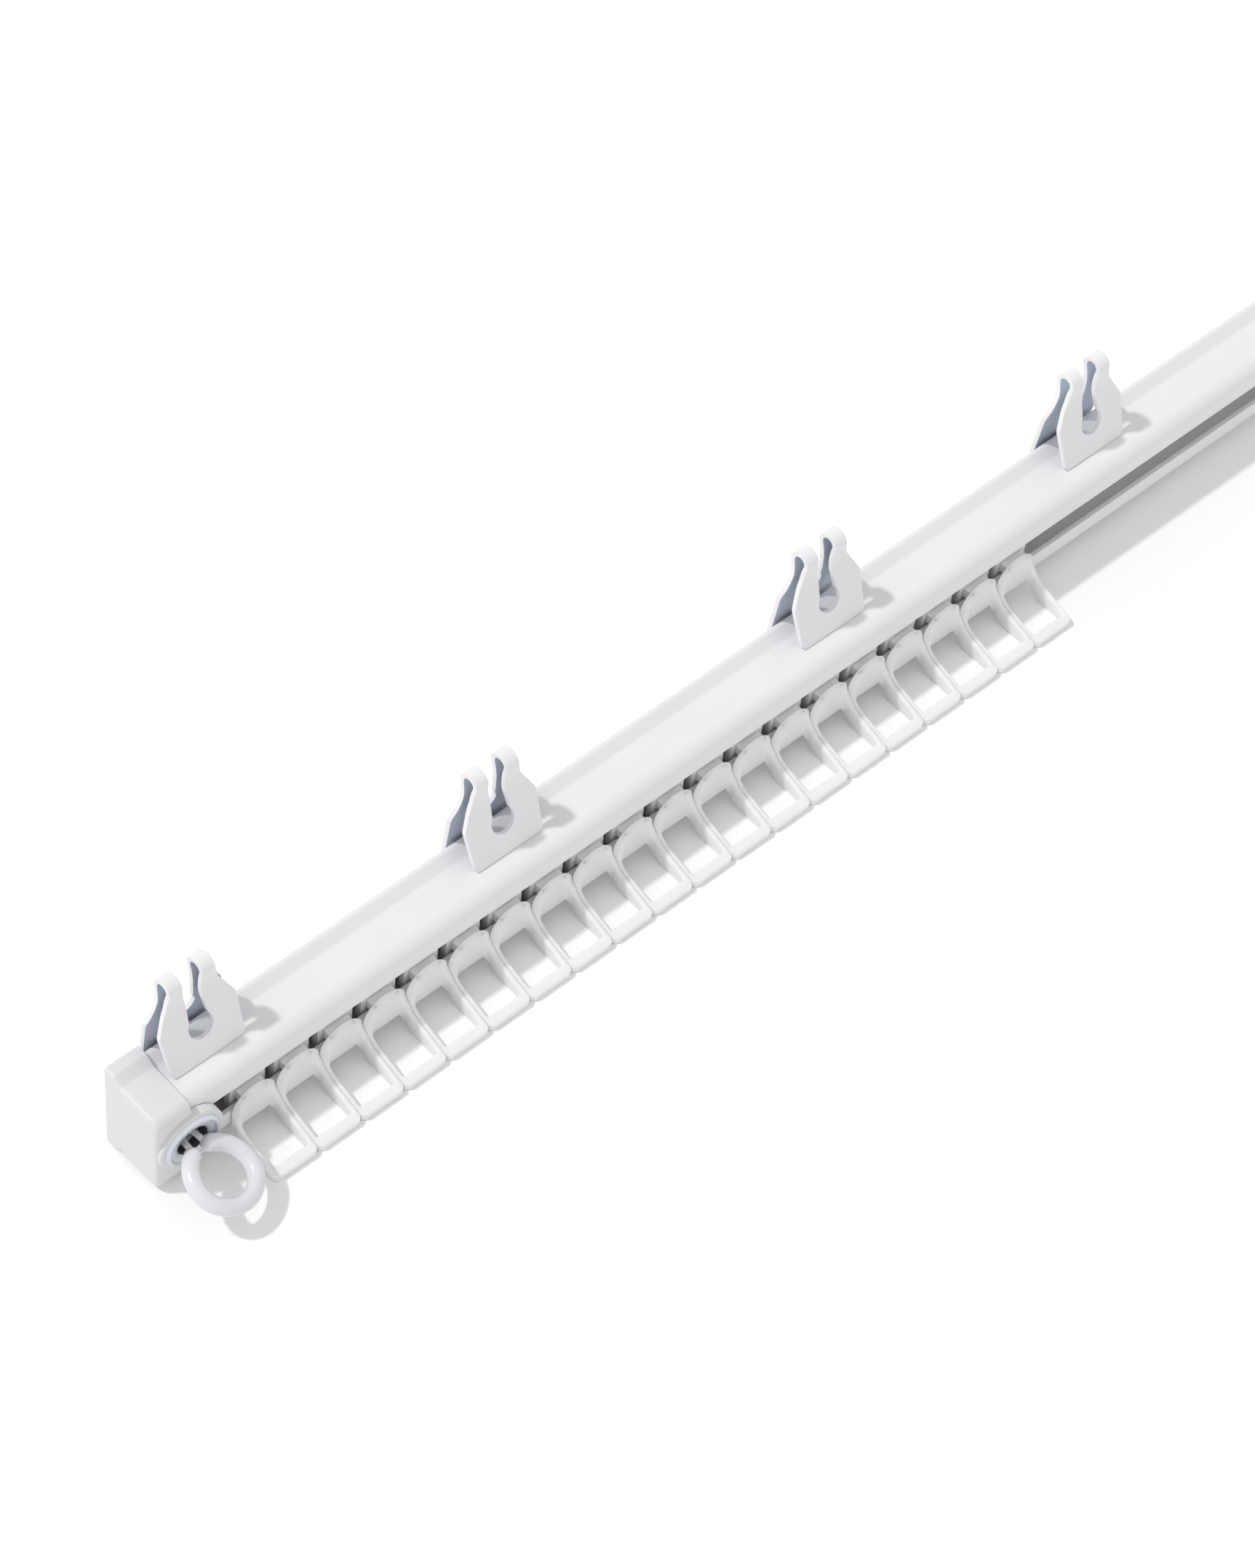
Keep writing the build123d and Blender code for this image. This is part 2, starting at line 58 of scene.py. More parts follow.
# %% Sizes of the rail
RAIL_DEPTH = 10.0
RAIL_WALL = 0.9
FACE_HALF = 7.45
RIDGE_HALF = 8.55
RIDGE_LAND = 0.8
RIDGE_SLOPE = 1.7
RIDGE_MITRE = math.tan(math.atan2(RIDGE_HALF - FACE_HALF, RIDGE_SLOPE) / 2)
RIDGE_EDGE_RADIUS = 0.35
RIDGE_FOOT_RADIUS = 1.2
SHOULDER_RADIUS = 2.4
SLOT_HALF = 2.55
LIP_EDGE_RADIUS = 0.2
rail_low, rail_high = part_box("rail")
BACK_Y = rail_high.y / MM
AXIS_Z = (rail_low.z + rail_high.z) / 2 / MM
TOP_FACE_Z = AXIS_Z + FACE_HALF
RAIL_LEFT = rail_low.x / MM
RAIL_RIGHT = rail_high.x / MM
print("rail back at y", round(BACK_Y, 3), "slot level at z", round(AXIS_Z, 3))


# %% [markdown]
# Three small tools carry the whole file. One rounds the corners of an outline. One turns a grid
# of points, a profile carried along something, into faces. One joins such grids into a single
# object, points the faces outwards and hands it to the frame.

# %% Outlines with rounded corners
def rounded(corners, radii, arc_steps=6, side_steps=1, closed=True):
    """An outline with rounded corners, as an array of points.

    Each corner becomes the arc of its radius that touches both sides, sampled at equal angles,
    and each straight side between two arcs is cut into side_steps equal pieces.
    """
    corners = np.array(corners, float)
    count = len(corners)
    radii = np.broadcast_to(np.array(radii, float), count)
    arcs = []
    for k in range(count):
        here = corners[k]
        if not closed and k in (0, count - 1):
            arcs.append(here[None, :])
            continue
        to_last = corners[k - 1] - here
        to_next = corners[(k + 1) % count] - here
        to_last = to_last / np.linalg.norm(to_last)
        to_next = to_next / np.linalg.norm(to_next)
        half = math.acos(np.clip(to_last @ to_next, -1, 1)) / 2
        middle = to_last + to_next
        centre = here + middle / np.linalg.norm(middle) * radii[k] / math.sin(half)
        first = here + to_last * radii[k] / math.tan(half) - centre
        last = here + to_next * radii[k] / math.tan(half) - centre
        turn = math.pi - 2 * half
        share = np.linspace(0, 1, arc_steps + 1)[:, None]
        weight_first = np.sin((1 - share) * turn) / math.sin(turn)
        weight_last = np.sin(share * turn) / math.sin(turn)
        arcs.append(centre + weight_first * first + weight_last * last)
    points = []
    for k in range(count if closed else count - 1):
        start = arcs[k][-1]
        end = arcs[(k + 1) % count][0]
        inner = np.linspace(0, 1, side_steps + 1)[1:-1, None]
        points.append(arcs[k])
        points.append(start + (end - start) * inner)
    if not closed:
        points.append(arcs[-1])
    return np.concatenate(points)


print("a square with rounded corners:", len(rounded([(0, 0), (9, 0), (9, 9), (0, 9)], 1)), "points")


# %% Grids into faces
def grid_faces(rows, columns, around, along):
    """Quads between neighbouring rows of a grid that is stored row by row.

    around closes each row onto itself, along closes the last row onto the first.
    """
    row = np.arange(rows if along else rows - 1)[:, None]
    column = np.arange(columns if around else columns - 1)[None, :]
    next_row = (row + 1) % rows
    next_column = (column + 1) % columns
    quads = np.stack([row * columns + column, row * columns + next_column,
                      next_row * columns + next_column, next_row * columns + column], -1)
    return quads.reshape(-1, 4).tolist()


def tube(grid, ends=True, along=False, around=True):
    """Points and faces of a closed tube from a grid of (rows, columns, 3), with flat ends."""
    rows, columns = grid.shape[:2]
    faces = grid_faces(rows, columns, around, along)
    if ends and not along:
        faces.append(list(range(columns)))
        faces.append(list(range((rows - 1) * columns, rows * columns)))
    return grid.reshape(-1, 3), faces


print("a tube of 3 rings of 8 points:", len(tube(np.zeros((3, 8, 3)))[1]), "faces")


# %% Joining surfaces into an object
SMOOTH_ANGLE = math.radians(38)
MERGE_DISTANCE = 0.002
SOFT_EDGE_SEGMENTS = 2


def make_piece(name, surfaces, solid=True):
    """One mesh object from several (points, faces) pairs in millimetres of the frame.

    Points that fall together are merged. A solid piece then has its faces turned outwards; an
    open sheet keeps the side that its grid gives it.
    """
    points, faces, start = [], [], 0
    for part_points, part_faces in surfaces:
        points.append(np.asarray(part_points, float) * MM)
        faces += [[index + start for index in face] for face in part_faces]
        start += len(part_points)
    mesh = bpy.data.meshes.new(name)
    mesh.from_pydata(np.concatenate(points).tolist(), [], faces)
    work = bmesh.new()
    work.from_mesh(mesh)
    bmesh.ops.remove_doubles(work, verts=work.verts, dist=MERGE_DISTANCE * MM)
    if solid:
        bmesh.ops.recalc_face_normals(work, faces=work.faces)
    work.to_mesh(mesh)
    work.free()
    mesh.polygons.foreach_set("use_smooth", np.ones(len(mesh.polygons), bool))
    mesh.set_sharp_from_angle(angle=SMOOTH_ANGLE)
    piece = bpy.data.objects.new(name, mesh)
    bpy.context.scene.collection.objects.link(piece)
    return piece


def soften(piece, width, angle):
    """A small bevel on the sharp edges, as paint and moulding leave them."""
    bevel = piece.modifiers.new("soft_edges", "BEVEL")
    bevel.width = width * MM
    bevel.segments = SOFT_EDGE_SEGMENTS
    bevel.limit_method = "ANGLE"
    bevel.angle_limit = math.radians(angle)
    bevel.harden_normals = False


def settle(piece, node, body, slot, *materials):
    """Gives a piece its finish and its place in the frame."""
    for material in materials:
        piece.data.materials.append(material)
    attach(piece, body)
    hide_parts(node)


print("tools ready")


# %% [markdown]
# The camera stands where the photograph was taken: to the left of the near end, in front, and high,
# looking down at about 54 degrees through a long lens. It is placed by its real position, and
# turned by three angles: where it looks on the compass, how far down, and how far it is rolled.

# %% Camera
CAMERA_PLACE = (-0.70723, -0.26684, 0.55993)
CAMERA_HEADING = math.radians(47.7305)
CAMERA_DOWN = math.radians(53.5097)
CAMERA_ROLL = math.radians(7.1036)
CAMERA_LENS = 131.13
SENSOR_WIDTH = 36.0
CAMERA_NEAR = 0.01
CAMERA_FAR = 50


def add_camera():
    """Camera with its axes worked out from heading, downward angle and roll."""
    forward = Vector((math.sin(CAMERA_HEADING) * math.cos(CAMERA_DOWN),
                      math.cos(CAMERA_HEADING) * math.cos(CAMERA_DOWN), -math.sin(CAMERA_DOWN)))
    level = Vector((math.cos(CAMERA_HEADING), -math.sin(CAMERA_HEADING), 0))
    upright = level.cross(forward)
    right = level * math.cos(CAMERA_ROLL) + upright * math.sin(CAMERA_ROLL)
    up = right.cross(forward)
    turn = Matrix((right, up, -forward)).transposed().to_4x4()
    data = bpy.data.cameras.new("camera")
    data.lens = CAMERA_LENS
    data.sensor_fit = "HORIZONTAL"
    data.sensor_width = SENSOR_WIDTH
    data.clip_start = CAMERA_NEAR
    data.clip_end = CAMERA_FAR
    camera = bpy.data.objects.new("camera", data)
    camera.matrix_world = Matrix.Translation(CAMERA_PLACE) @ turn
    bpy.context.scene.collection.objects.link(camera)
    bpy.context.scene.camera = camera


add_camera()
print("camera at", CAMERA_PLACE)

# %% [markdown]
# The light in the photograph is a bright, even sky with one softer sun behind and to the left:
# shadows fall to the right and towards the viewer, a little over half as long as the things are
# high, and stay about two thirds as bright as the table. A sun with some width and a plain white
# world give just that. The camera, gloss and clear things see the world as pure white, and it
# lights the rest a little less.

# %% Light
SUN_TRAVEL = (0.418, -0.305, -0.856)
SUN_STRENGTH = 1.25
SUN_WIDTH = math.radians(3)
SKY_LEVEL = 0.66
SKY_COLOUR = (0.99, 0.99, 1.0, 1)
WHITE = (1, 1, 1, 1)


def add_light():
    """A sun that shines along SUN_TRAVEL, and an even sky."""
    data = bpy.data.lights.new("sun", "SUN")
    data.energy = SUN_STRENGTH
    data.angle = SUN_WIDTH
    sun = bpy.data.objects.new("sun", data)
    sun.rotation_euler = Vector(SUN_TRAVEL).to_track_quat("-Z", "Y").to_euler()
    bpy.context.scene.collection.objects.link(sun)
    world = bpy.data.worlds.new("sky")
    bpy.context.scene.world = world
    world.use_nodes = True
    nodes = world.node_tree.nodes
    links = world.node_tree.links
    nodes.clear()
    path = nodes.new("ShaderNodeLightPath")
    plain = nodes.new("ShaderNodeMath")
    plain.operation = "MAXIMUM"
    links.new(path.outputs["Is Camera Ray"], plain.inputs[0])
    links.new(path.outputs["Is Glossy Ray"], plain.inputs[1])
    seen = nodes.new("ShaderNodeMath")
    seen.operation = "MAXIMUM"
    links.new(plain.outputs[0], seen.inputs[0])
    links.new(path.outputs["Is Transmission Ray"], seen.inputs[1])
    lighting = nodes.new("ShaderNodeBackground")
    lighting.inputs["Color"].default_value = SKY_COLOUR
    lighting.inputs["Strength"].default_value = SKY_LEVEL
    backdrop = nodes.new("ShaderNodeBackground")
    backdrop.inputs["Color"].default_value = WHITE
    backdrop.inputs["Strength"].default_value = 1.0
    mix = nodes.new("ShaderNodeMixShader")
    links.new(seen.outputs[0], mix.inputs[0])
    links.new(lighting.outputs[0], mix.inputs[1])
    links.new(backdrop.outputs[0], mix.inputs[2])
    output = nodes.new("ShaderNodeOutputWorld")
    links.new(mix.outputs[0], output.inputs["Surface"])


bpy.context.scene.view_settings.view_transform = "Standard"
add_light()
print("sun and sky set")


# %% [markdown]
# White things differ in their gloss and in their grain more than in their colour. The paint on the
# rail is satin with a faint orange peel; the caps are matter and a shade greyer; the coating on the
# ring is glossy; the eyelet is rolled metal; the gliders are milky, so light wanders inside them.
# Each finish below is a principled surface with its own fine noise for the tone, the roughness and
# the height, at the size the real one has.

# %% How a finish is made
DRIFT_SCALE = 60.0
DRIFT_DETAIL = 3.0
DRIFT_LOW = 0.3
DRIFT_HIGH = 0.7
GLOSS_DRIFT = 0.06
PEEL_DETAIL = 2.0
PEEL_HEIGHT = 0.1
COAT_ROUGHNESS = 0.08
MILK_RADIUS = (1.0, 1.0, 1.0)
MILK_DEPTH = 0.8


def finish(name, colour, roughness, tone, grain, bump, metallic=0.0, coat=0.0, milk=0.0):
    """A plain finish: noise moves the tone and the roughness a little, and fine noise the height.

    tone is the share by which the colour drifts, grain the size of the bumps in millimetres,
    bump their strength, and milk the share of the light that wanders inside.
    """
    material = bpy.data.materials.new(name)
    material.use_nodes = True
    nodes = material.node_tree.nodes
    links = material.node_tree.links
    shader = nodes["Principled BSDF"]
    shader.inputs["Metallic"].default_value = metallic
    shader.inputs["Coat Weight"].default_value = coat
    shader.inputs["Coat Roughness"].default_value = COAT_ROUGHNESS
    shader.inputs["Subsurface Weight"].default_value = milk
    shader.inputs["Subsurface Radius"].default_value = MILK_RADIUS
    shader.inputs["Subsurface Scale"].default_value = MILK_DEPTH * MM
    place = nodes.new("ShaderNodeTexCoord")
    drift = nodes.new("ShaderNodeTexNoise")
    drift.inputs["Scale"].default_value = DRIFT_SCALE
    drift.inputs["Detail"].default_value = DRIFT_DETAIL
    links.new(place.outputs["Object"], drift.inputs["Vector"])
    ramp = nodes.new("ShaderNodeValToRGB")
    ramp.color_ramp.elements[0].position = DRIFT_LOW
    ramp.color_ramp.elements[1].position = DRIFT_HIGH
    dark = [channel * (1 - tone) for channel in colour]
    light = [min(1.0, channel * (1 + tone)) for channel in colour]
    ramp.color_ramp.elements[0].color = (*dark, 1)
    ramp.color_ramp.elements[1].color = (*light, 1)
    links.new(drift.outputs["Fac"], ramp.inputs["Fac"])
    links.new(ramp.outputs["Color"], shader.inputs["Base Color"])
    gloss = nodes.new("ShaderNodeMapRange")
    gloss.inputs["To Min"].default_value = roughness - GLOSS_DRIFT
    gloss.inputs["To Max"].default_value = roughness + GLOSS_DRIFT
    links.new(drift.outputs["Fac"], gloss.inputs["Value"])
    links.new(gloss.outputs["Result"], shader.inputs["Roughness"])
    peel = nodes.new("ShaderNodeTexNoise")
    peel.inputs["Scale"].default_value = 1 / (grain * MM)
    peel.inputs["Detail"].default_value = PEEL_DETAIL
    links.new(place.outputs["Object"], peel.inputs["Vector"])
    height = nodes.new("ShaderNodeBump")
    height.inputs["Strength"].default_value = bump
    height.inputs["Distance"].default_value = PEEL_HEIGHT * MM
    links.new(peel.outputs["Fac"], height.inputs["Height"])
    links.new(height.outputs["Normal"], shader.inputs["Normal"])
    return material


print("finish ready, roughness drifts by", GLOSS_DRIFT)

# %% Finishes
rail_paint = finish("rail_paint", (0.87, 0.865, 0.875), 0.42, tone=0.01, grain=0.9, bump=0.06)
cap_plastic = finish("cap_plastic", (0.78, 0.78, 0.783), 0.5, tone=0.015, grain=0.5, bump=0.08)
grommet_metal = finish("grommet_metal", (0.72, 0.74, 0.785), 0.33, tone=0.05, grain=0.4, bump=0.05,
                       metallic=0.75)
# Near-black painted shade for the wall inside the eyelet's throat, where no light gets out.
eyelet_painted_shade = finish("eyelet_painted_shade", (0.03, 0.032, 0.04), 0.6, tone=0.2, grain=0.4, bump=0.1)
eye_coat = finish("eye_coat", (0.80, 0.80, 0.83), 0.22, tone=0.015, grain=1.2, bump=0.05, coat=0.4)
clip_paint = finish("clip_paint", (0.90, 0.90, 0.915), 0.45, tone=0.012, grain=0.5, bump=0.08)
clip_inside = finish("clip_inside", (0.54, 0.58, 0.65), 0.5, tone=0.3, grain=0.35, bump=0.6)
glider_plastic = finish("glider_plastic", (0.93, 0.93, 0.94), 0.36, tone=0.01, grain=0.7, bump=0.05,
                        milk=0.5)
print("finishes:", len(bpy.data.materials))


# %% [markdown]
# The rail is one section drawn along a metre. The section is a C: a flat back with a sloped ridge
# along both edges, two faces, two rounded shoulders and two lips with the slot between them. It is
# written as its corners, and the corners are rounded by their own radii.

# %% The rail's section
RAIL_INNER_CORNER = 0.3
RAIL_STATIONS = 41


def hat_corners(grow):
    """Corners of the rail's outside, in (y, z), grown outwards by so many millimetres.

    The ridge's slope moves with its mitre: the tangent of half its angle times the growth.
    """
    ridge = RIDGE_HALF + grow
    face = FACE_HALF + grow
    land = RIDGE_LAND + RIDGE_MITRE * grow
    foot = land + RIDGE_SLOPE
    upper = [(grow, ridge), (-land, ridge), (-foot, face), (-RAIL_DEPTH - grow, face)]
    return upper + [(y, -z) for y, z in reversed(upper)]


def rail_section():
    """The closed C of the sheet: round the outside, over one lip and back round the inside."""
    upper = hat_corners(0)[:4]
    lip = (-RAIL_DEPTH, SLOT_HALF)
    inner = [(-RAIL_DEPTH + RAIL_WALL, SLOT_HALF), (-RAIL_DEPTH + RAIL_WALL, FACE_HALF - RAIL_WALL),
             (-RAIL_WALL, FACE_HALF - RAIL_WALL)]
    half = upper + [lip] + inner
    radii = [RIDGE_EDGE_RADIUS, RIDGE_EDGE_RADIUS, RIDGE_FOOT_RADIUS, SHOULDER_RADIUS,
             LIP_EDGE_RADIUS, LIP_EDGE_RADIUS, SHOULDER_RADIUS - RAIL_WALL, RAIL_INNER_CORNER]
    corners = half + [(y, -z) for y, z in reversed(half)]
    return rounded(corners, radii + radii[::-1], arc_steps=10)


section = rail_section()
print("rail section points:", len(section))


# %% The rail
def extruded(outline, places):
    """Grid of an outline in (y, z) repeated at each x."""
    grid = np.zeros((len(places), len(outline), 3))
    grid[:, :, 0] = np.array(places)[:, None]
    grid[:, :, 1] = outline[:, 0] + BACK_Y
    grid[:, :, 2] = outline[:, 1] + AXIS_Z
    return grid


rail = make_piece("rail_sheet", [tube(extruded(section, np.linspace(RAIL_LEFT, RAIL_RIGHT, RAIL_STATIONS)))])
settle(rail, "rail", "track", "rail_paint", rail_paint)
print("rail faces:", len(rail.data.polygons))

# %% [markdown]
# An end cap is a short sleeve in the rail's own outline, closed at its outer end, with a round boss
# that stands in front of the slot. The sleeve is one closed surface: round the outer end edge, along
# the outside, over the mouth and back down the inside. In front the mouth draws back in half a circle,
# so that the bore behind the boss stays open. The right end is the left one mirrored.

# %% Sizes of the end caps
CAP_WALL = 0.95
CAP_FIT = 0.05
CAP_END_WALL = 1.2
CAP_LENGTH = 6.2
CAP_CORNER_RADIUS = 1.5
CAP_END_RADIUS = 0.7
BOSS_RADIUS = 5.7
BOSS_FROM_END = 5.9
BOSS_FRONT = 11.6
BOSS_BACK = 10.1
BOSS_EDGE_RADIUS = 0.3
BOSS_FOOT_RADIUS = 0.1
BORE_RADIUS = 4.0
BORE_EDGE_RADIUS = 0.05
MOUTH_RADIUS = 0.18
CAP_RIDGE_RADIUS = CAP_END_RADIUS * 0.8
CAP_EDGE_STEPS = 7
CAP_SIDE_STEPS = 24
CAP_LEFT = RAIL_LEFT - CAP_END_WALL
BOSS_X = CAP_LEFT + BOSS_FROM_END
print("left boss at x", round(BOSS_X, 2))


# %% The end cap's sleeve
def cap_row(x, grow):
    """One ring of the cap's skin, at x millimetres from the end and grown by grow."""
    radii = [CAP_RIDGE_RADIUS, CAP_RIDGE_RADIUS, CAP_END_RADIUS, CAP_CORNER_RADIUS]
    ring = rounded(hat_corners(grow), radii + radii[::-1], arc_steps=8, side_steps=CAP_SIDE_STEPS)
    return extruded(ring, [CAP_LEFT + x])[0]


def drawn_back(rows):
    """Mouth rows with their front wall drawn back to half a circle of the bore's radius."""
    height = rows[:, :, 2] - AXIS_Z
    bored = (rows[:, :, 1] < BACK_Y - RAIL_DEPTH) & (np.abs(height) < BORE_RADIUS)
    reach = np.sqrt(np.clip(BORE_RADIUS ** 2 - height ** 2, 0, None))
    rows[:, :, 0] -= np.where(bored, CAP_LENGTH - BOSS_FROM_END + reach, 0)
    return rows


def cap_sleeve():
    """Rows from the rim of the end face, over its rounded edge, to the mouth and back inside."""
    outside = CAP_FIT + CAP_WALL
    turn = np.linspace(0, math.pi / 2, CAP_EDGE_STEPS)
    rows = []
    for angle in turn:
        inset = CAP_END_RADIUS * (1 - math.sin(angle))
        rows.append(cap_row(CAP_END_RADIUS * (1 - math.cos(angle)), outside - inset))
    mouth = []
    for angle in turn:
        reach = CAP_LENGTH - MOUTH_RADIUS * (1 - math.sin(angle))
        mouth.append(cap_row(reach, outside - MOUTH_RADIUS * (1 - math.cos(angle))))
    mouth.append(cap_row(CAP_LENGTH, CAP_FIT))
    inside = cap_row(CAP_END_WALL, CAP_FIT)
    return tube(np.concatenate([rows, drawn_back(np.array(mouth)), [inside]]))


print("sleeve points:", len(cap_sleeve()[0]))


# %% The boss, and the cap made of both
def turned(profile, x, steps):
    """A closed (radius, y) profile turned about the boss axis, one row of points for each angle."""
    angle = np.linspace(0, 2 * math.pi, steps, endpoint=False)[:, None]
    profile = np.array(profile)
    grid = np.zeros((steps, len(profile), 3))
    grid[:, :, 0] = x + profile[:, 0] * np.cos(angle)
    grid[:, :, 1] = profile[:, 1] + BACK_Y
    grid[:, :, 2] = AXIS_Z + profile[:, 0] * np.sin(angle)
    return tube(grid, ends=False, along=True)


def boss_surface():
    """The boss: a thick washer with a rounded front edge, bored for the eyelet's barrel."""
    corners = [(BORE_RADIUS, -BOSS_BACK), (BOSS_RADIUS, -BOSS_BACK), (BOSS_RADIUS, -BOSS_FRONT),
               (BORE_RADIUS, -BOSS_FRONT)]
    radii = [BORE_EDGE_RADIUS, BOSS_FOOT_RADIUS, BOSS_EDGE_RADIUS, BORE_EDGE_RADIUS]
    return turned(rounded(corners, radii, arc_steps=4), BOSS_X, steps=64)


def at_end(side, surface):
    """A surface of the left end, mirrored to the other end of the rail if side says right."""
    points, faces = surface
    placed = np.array(points)
    if side == "right":
        placed[:, 0] = RAIL_LEFT + RAIL_RIGHT - placed[:, 0]
    return placed, faces


def make_cap(side):
    """An end cap: sleeve and boss."""
    cap = make_piece(f"cap_{side}", [at_end(side, cap_sleeve()), at_end(side, boss_surface())])
    settle(cap, f"end_cap_{side}", "track", "cap_plastic", cap_plastic)
    return cap


print("boss points:", len(boss_surface()[0]))

# %% [markdown]
# The eyelet is a turned ring of bright metal: a rolled rim that stands a little off the boss, a flat
# dish, and a rounded throat that the wire passes. Its profile is half an ellipse, a short straight line
# and a quarter of a circle. Inside the throat no light gets out again, so that wall gets painted shade:
# a near-black finish of its own.

# %% The end caps and their eyelets
GROMMET_RADIUS = 4.9
GROMMET_RIM = 0.42
GROMMET_HOLE_RADIUS = 2.4
GROMMET_FUNNEL_RADIUS = 3.95
GROMMET_DISC = 0.25
GROMMET_FUNNEL_DEPTH = 0.7
# How far out from the hole's wall the painted shade reaches.
PAINTED_SHADE_REACH = 0.25
RIM_STEPS = 12
THROAT_STEPS = 9


def grommet_surface():
    """Rim, dish, throat and barrel as one closed profile, turned.

    The profile is half an ellipse that is lifted off the boss towards its inner side, a straight
    line, a quarter of a circle and two straight sides.
    """
    angle = np.linspace(0, math.pi, RIM_STEPS)
    middle = (GROMMET_RADIUS + GROMMET_FUNNEL_RADIUS) / 2
    half = (GROMMET_RADIUS - GROMMET_FUNNEL_RADIUS) / 2
    lift = GROMMET_DISC * (1 - np.cos(angle)) / 2
    rim = np.stack([middle + half * np.cos(angle), -BOSS_FRONT - lift - GROMMET_RIM * np.sin(angle)], 1)
    turn = np.linspace(0, math.pi / 2, THROAT_STEPS)
    radius = GROMMET_DISC + GROMMET_FUNNEL_DEPTH
    throat = np.stack([GROMMET_HOLE_RADIUS + radius * (1 - np.sin(turn)),
                       -BOSS_FRONT - GROMMET_DISC + radius * (1 - np.cos(turn))], 1)
    back = [(GROMMET_HOLE_RADIUS, -BOSS_BACK), (BORE_RADIUS, -BOSS_BACK), (BORE_RADIUS, -BOSS_FRONT)]
    return turned(np.concatenate([rim, throat, back]), BOSS_X, steps=72)


def paint_throat_shade(eyelet):
    """Gives the second material, painted shade, to the faces near the hole's wall, by their distance from
    the axis.
    """
    centres = np.zeros(len(eyelet.data.polygons) * 3)
    eyelet.data.polygons.foreach_get("center", centres)
    centres = centres.reshape(-1, 3) / MM
    boss = np.where(centres[:, 0] > 0, RAIL_LEFT + RAIL_RIGHT - BOSS_X, BOSS_X)
    distance = np.hypot(centres[:, 0] - boss, centres[:, 2] - AXIS_Z)
    throat_shade_mask = distance < GROMMET_HOLE_RADIUS + PAINTED_SHADE_REACH
    eyelet.data.polygons.foreach_set("material_index", throat_shade_mask.astype(np.int32))
    return throat_shade_mask.sum()


for side in ("left", "right"):
    cap = make_cap(side)
    eyelet = make_piece(f"eyelet_{side}", [at_end(side, grommet_surface())])
    settle(eyelet, f"grommet_{side}", "track", "grommet_metal", grommet_metal, eyelet_painted_shade)
    # The faces round the throat's wall get the painted shade.
    painted_shade_faces = paint_throat_shade(eyelet)
print("cap faces:", len(cap.data.polygons))
print("eyelet faces:", len(eyelet.data.polygons), "of them in the throat:", painted_shade_faces)

# %% [markdown]
# The eye is a wire with a thick glossy coating. Two bare strands leave the eyelet side by side, and
# a little further out the coating starts. They bend away from each other and run round in a ring,
# so the seam between them shows. The ring droops, and is turned a little to the right. The path is
# a line, a bend and most of a circle, and a round section is carried along it. Behind the eyelet
# the ends go on through the slot and are bent apart.

# %% Sizes of the ring eyes
EYE_RING_RADIUS = 5.0
EYE_OVAL = 0.45
EYE_COAT_RADIUS = 1.33
EYE_WIRE_RADIUS = 0.98
EYE_STRAND_RADIUS = 0.5
EYE_BARE = 1.2
EYE_SEAM = 0.08
EYE_BEND_RADIUS = 1.45
EYE_START_GAP = 0.6
EYE_REACH = 5.85
EYE_DROOP = math.radians(21.0)
EYE_SWING = math.radians(6.5)
EYE_ROLL = math.radians(-15.0)
EYE_END_REACH = 3.6
EYE_LIP_GAP = 0.4
EYE_END_BEND_RADIUS = 1.15 * EYE_WIRE_RADIUS
ROUND_END_START = math.radians(80)
ROUND_END_STEPS = 6
RING_BEND_STEPS = 10
RING_CIRCLE_STEPS = 40
LEAD_STEPS = 5
PIVOT = np.array([BOSS_X, BACK_Y - BOSS_FRONT - EYE_START_GAP, AXIS_Z])
print("left ring turns about", np.round(PIVOT, 2))


# %% A round section carried along a path
def carried(path, radius, steps=20):
    """A round section carried along a path that is flat or nearly so, with half-round ends.

    Each ring stands square to the path's own direction there. The other axis of the section is
    the cross product of the path's first direction and the one that differs most from it.
    """
    path = np.array(path, float)
    along = np.gradient(path, axis=0)
    along /= np.linalg.norm(along, axis=1)[:, None]
    turns = np.cross(along[0], along)
    normal = turns[np.argmax(np.linalg.norm(turns, axis=1))]
    normal = normal / np.linalg.norm(normal)
    side = np.cross(normal, along)
    turn = np.linspace(ROUND_END_START, 0, ROUND_END_STEPS)[:-1]
    first = path[0] - along[0] * radius * np.sin(turn)[:, None]
    last = path[-1] + along[-1] * radius * np.sin(turn[::-1])[:, None]
    centres = np.concatenate([first, path, last])
    scale = np.concatenate([np.cos(turn), np.ones(len(path)), np.cos(turn[::-1])])
    side = np.concatenate([np.repeat(side[:1], len(turn), 0), side, np.repeat(side[-1:], len(turn), 0)])
    angle = np.linspace(0, 2 * math.pi, steps, endpoint=False)
    ring = np.cos(angle)[None, :, None] * side[:, None, :] + np.sin(angle)[None, :, None] * normal
    return tube(centres[:, None, :] + radius * scale[:, None, None] * ring)


sample = carried([(0, 0, 0), (1, 0, 0), (2, 1, 0), (2, 2, 0)], 0.5)
print("a short bent wire:", len(sample[0]), "points")


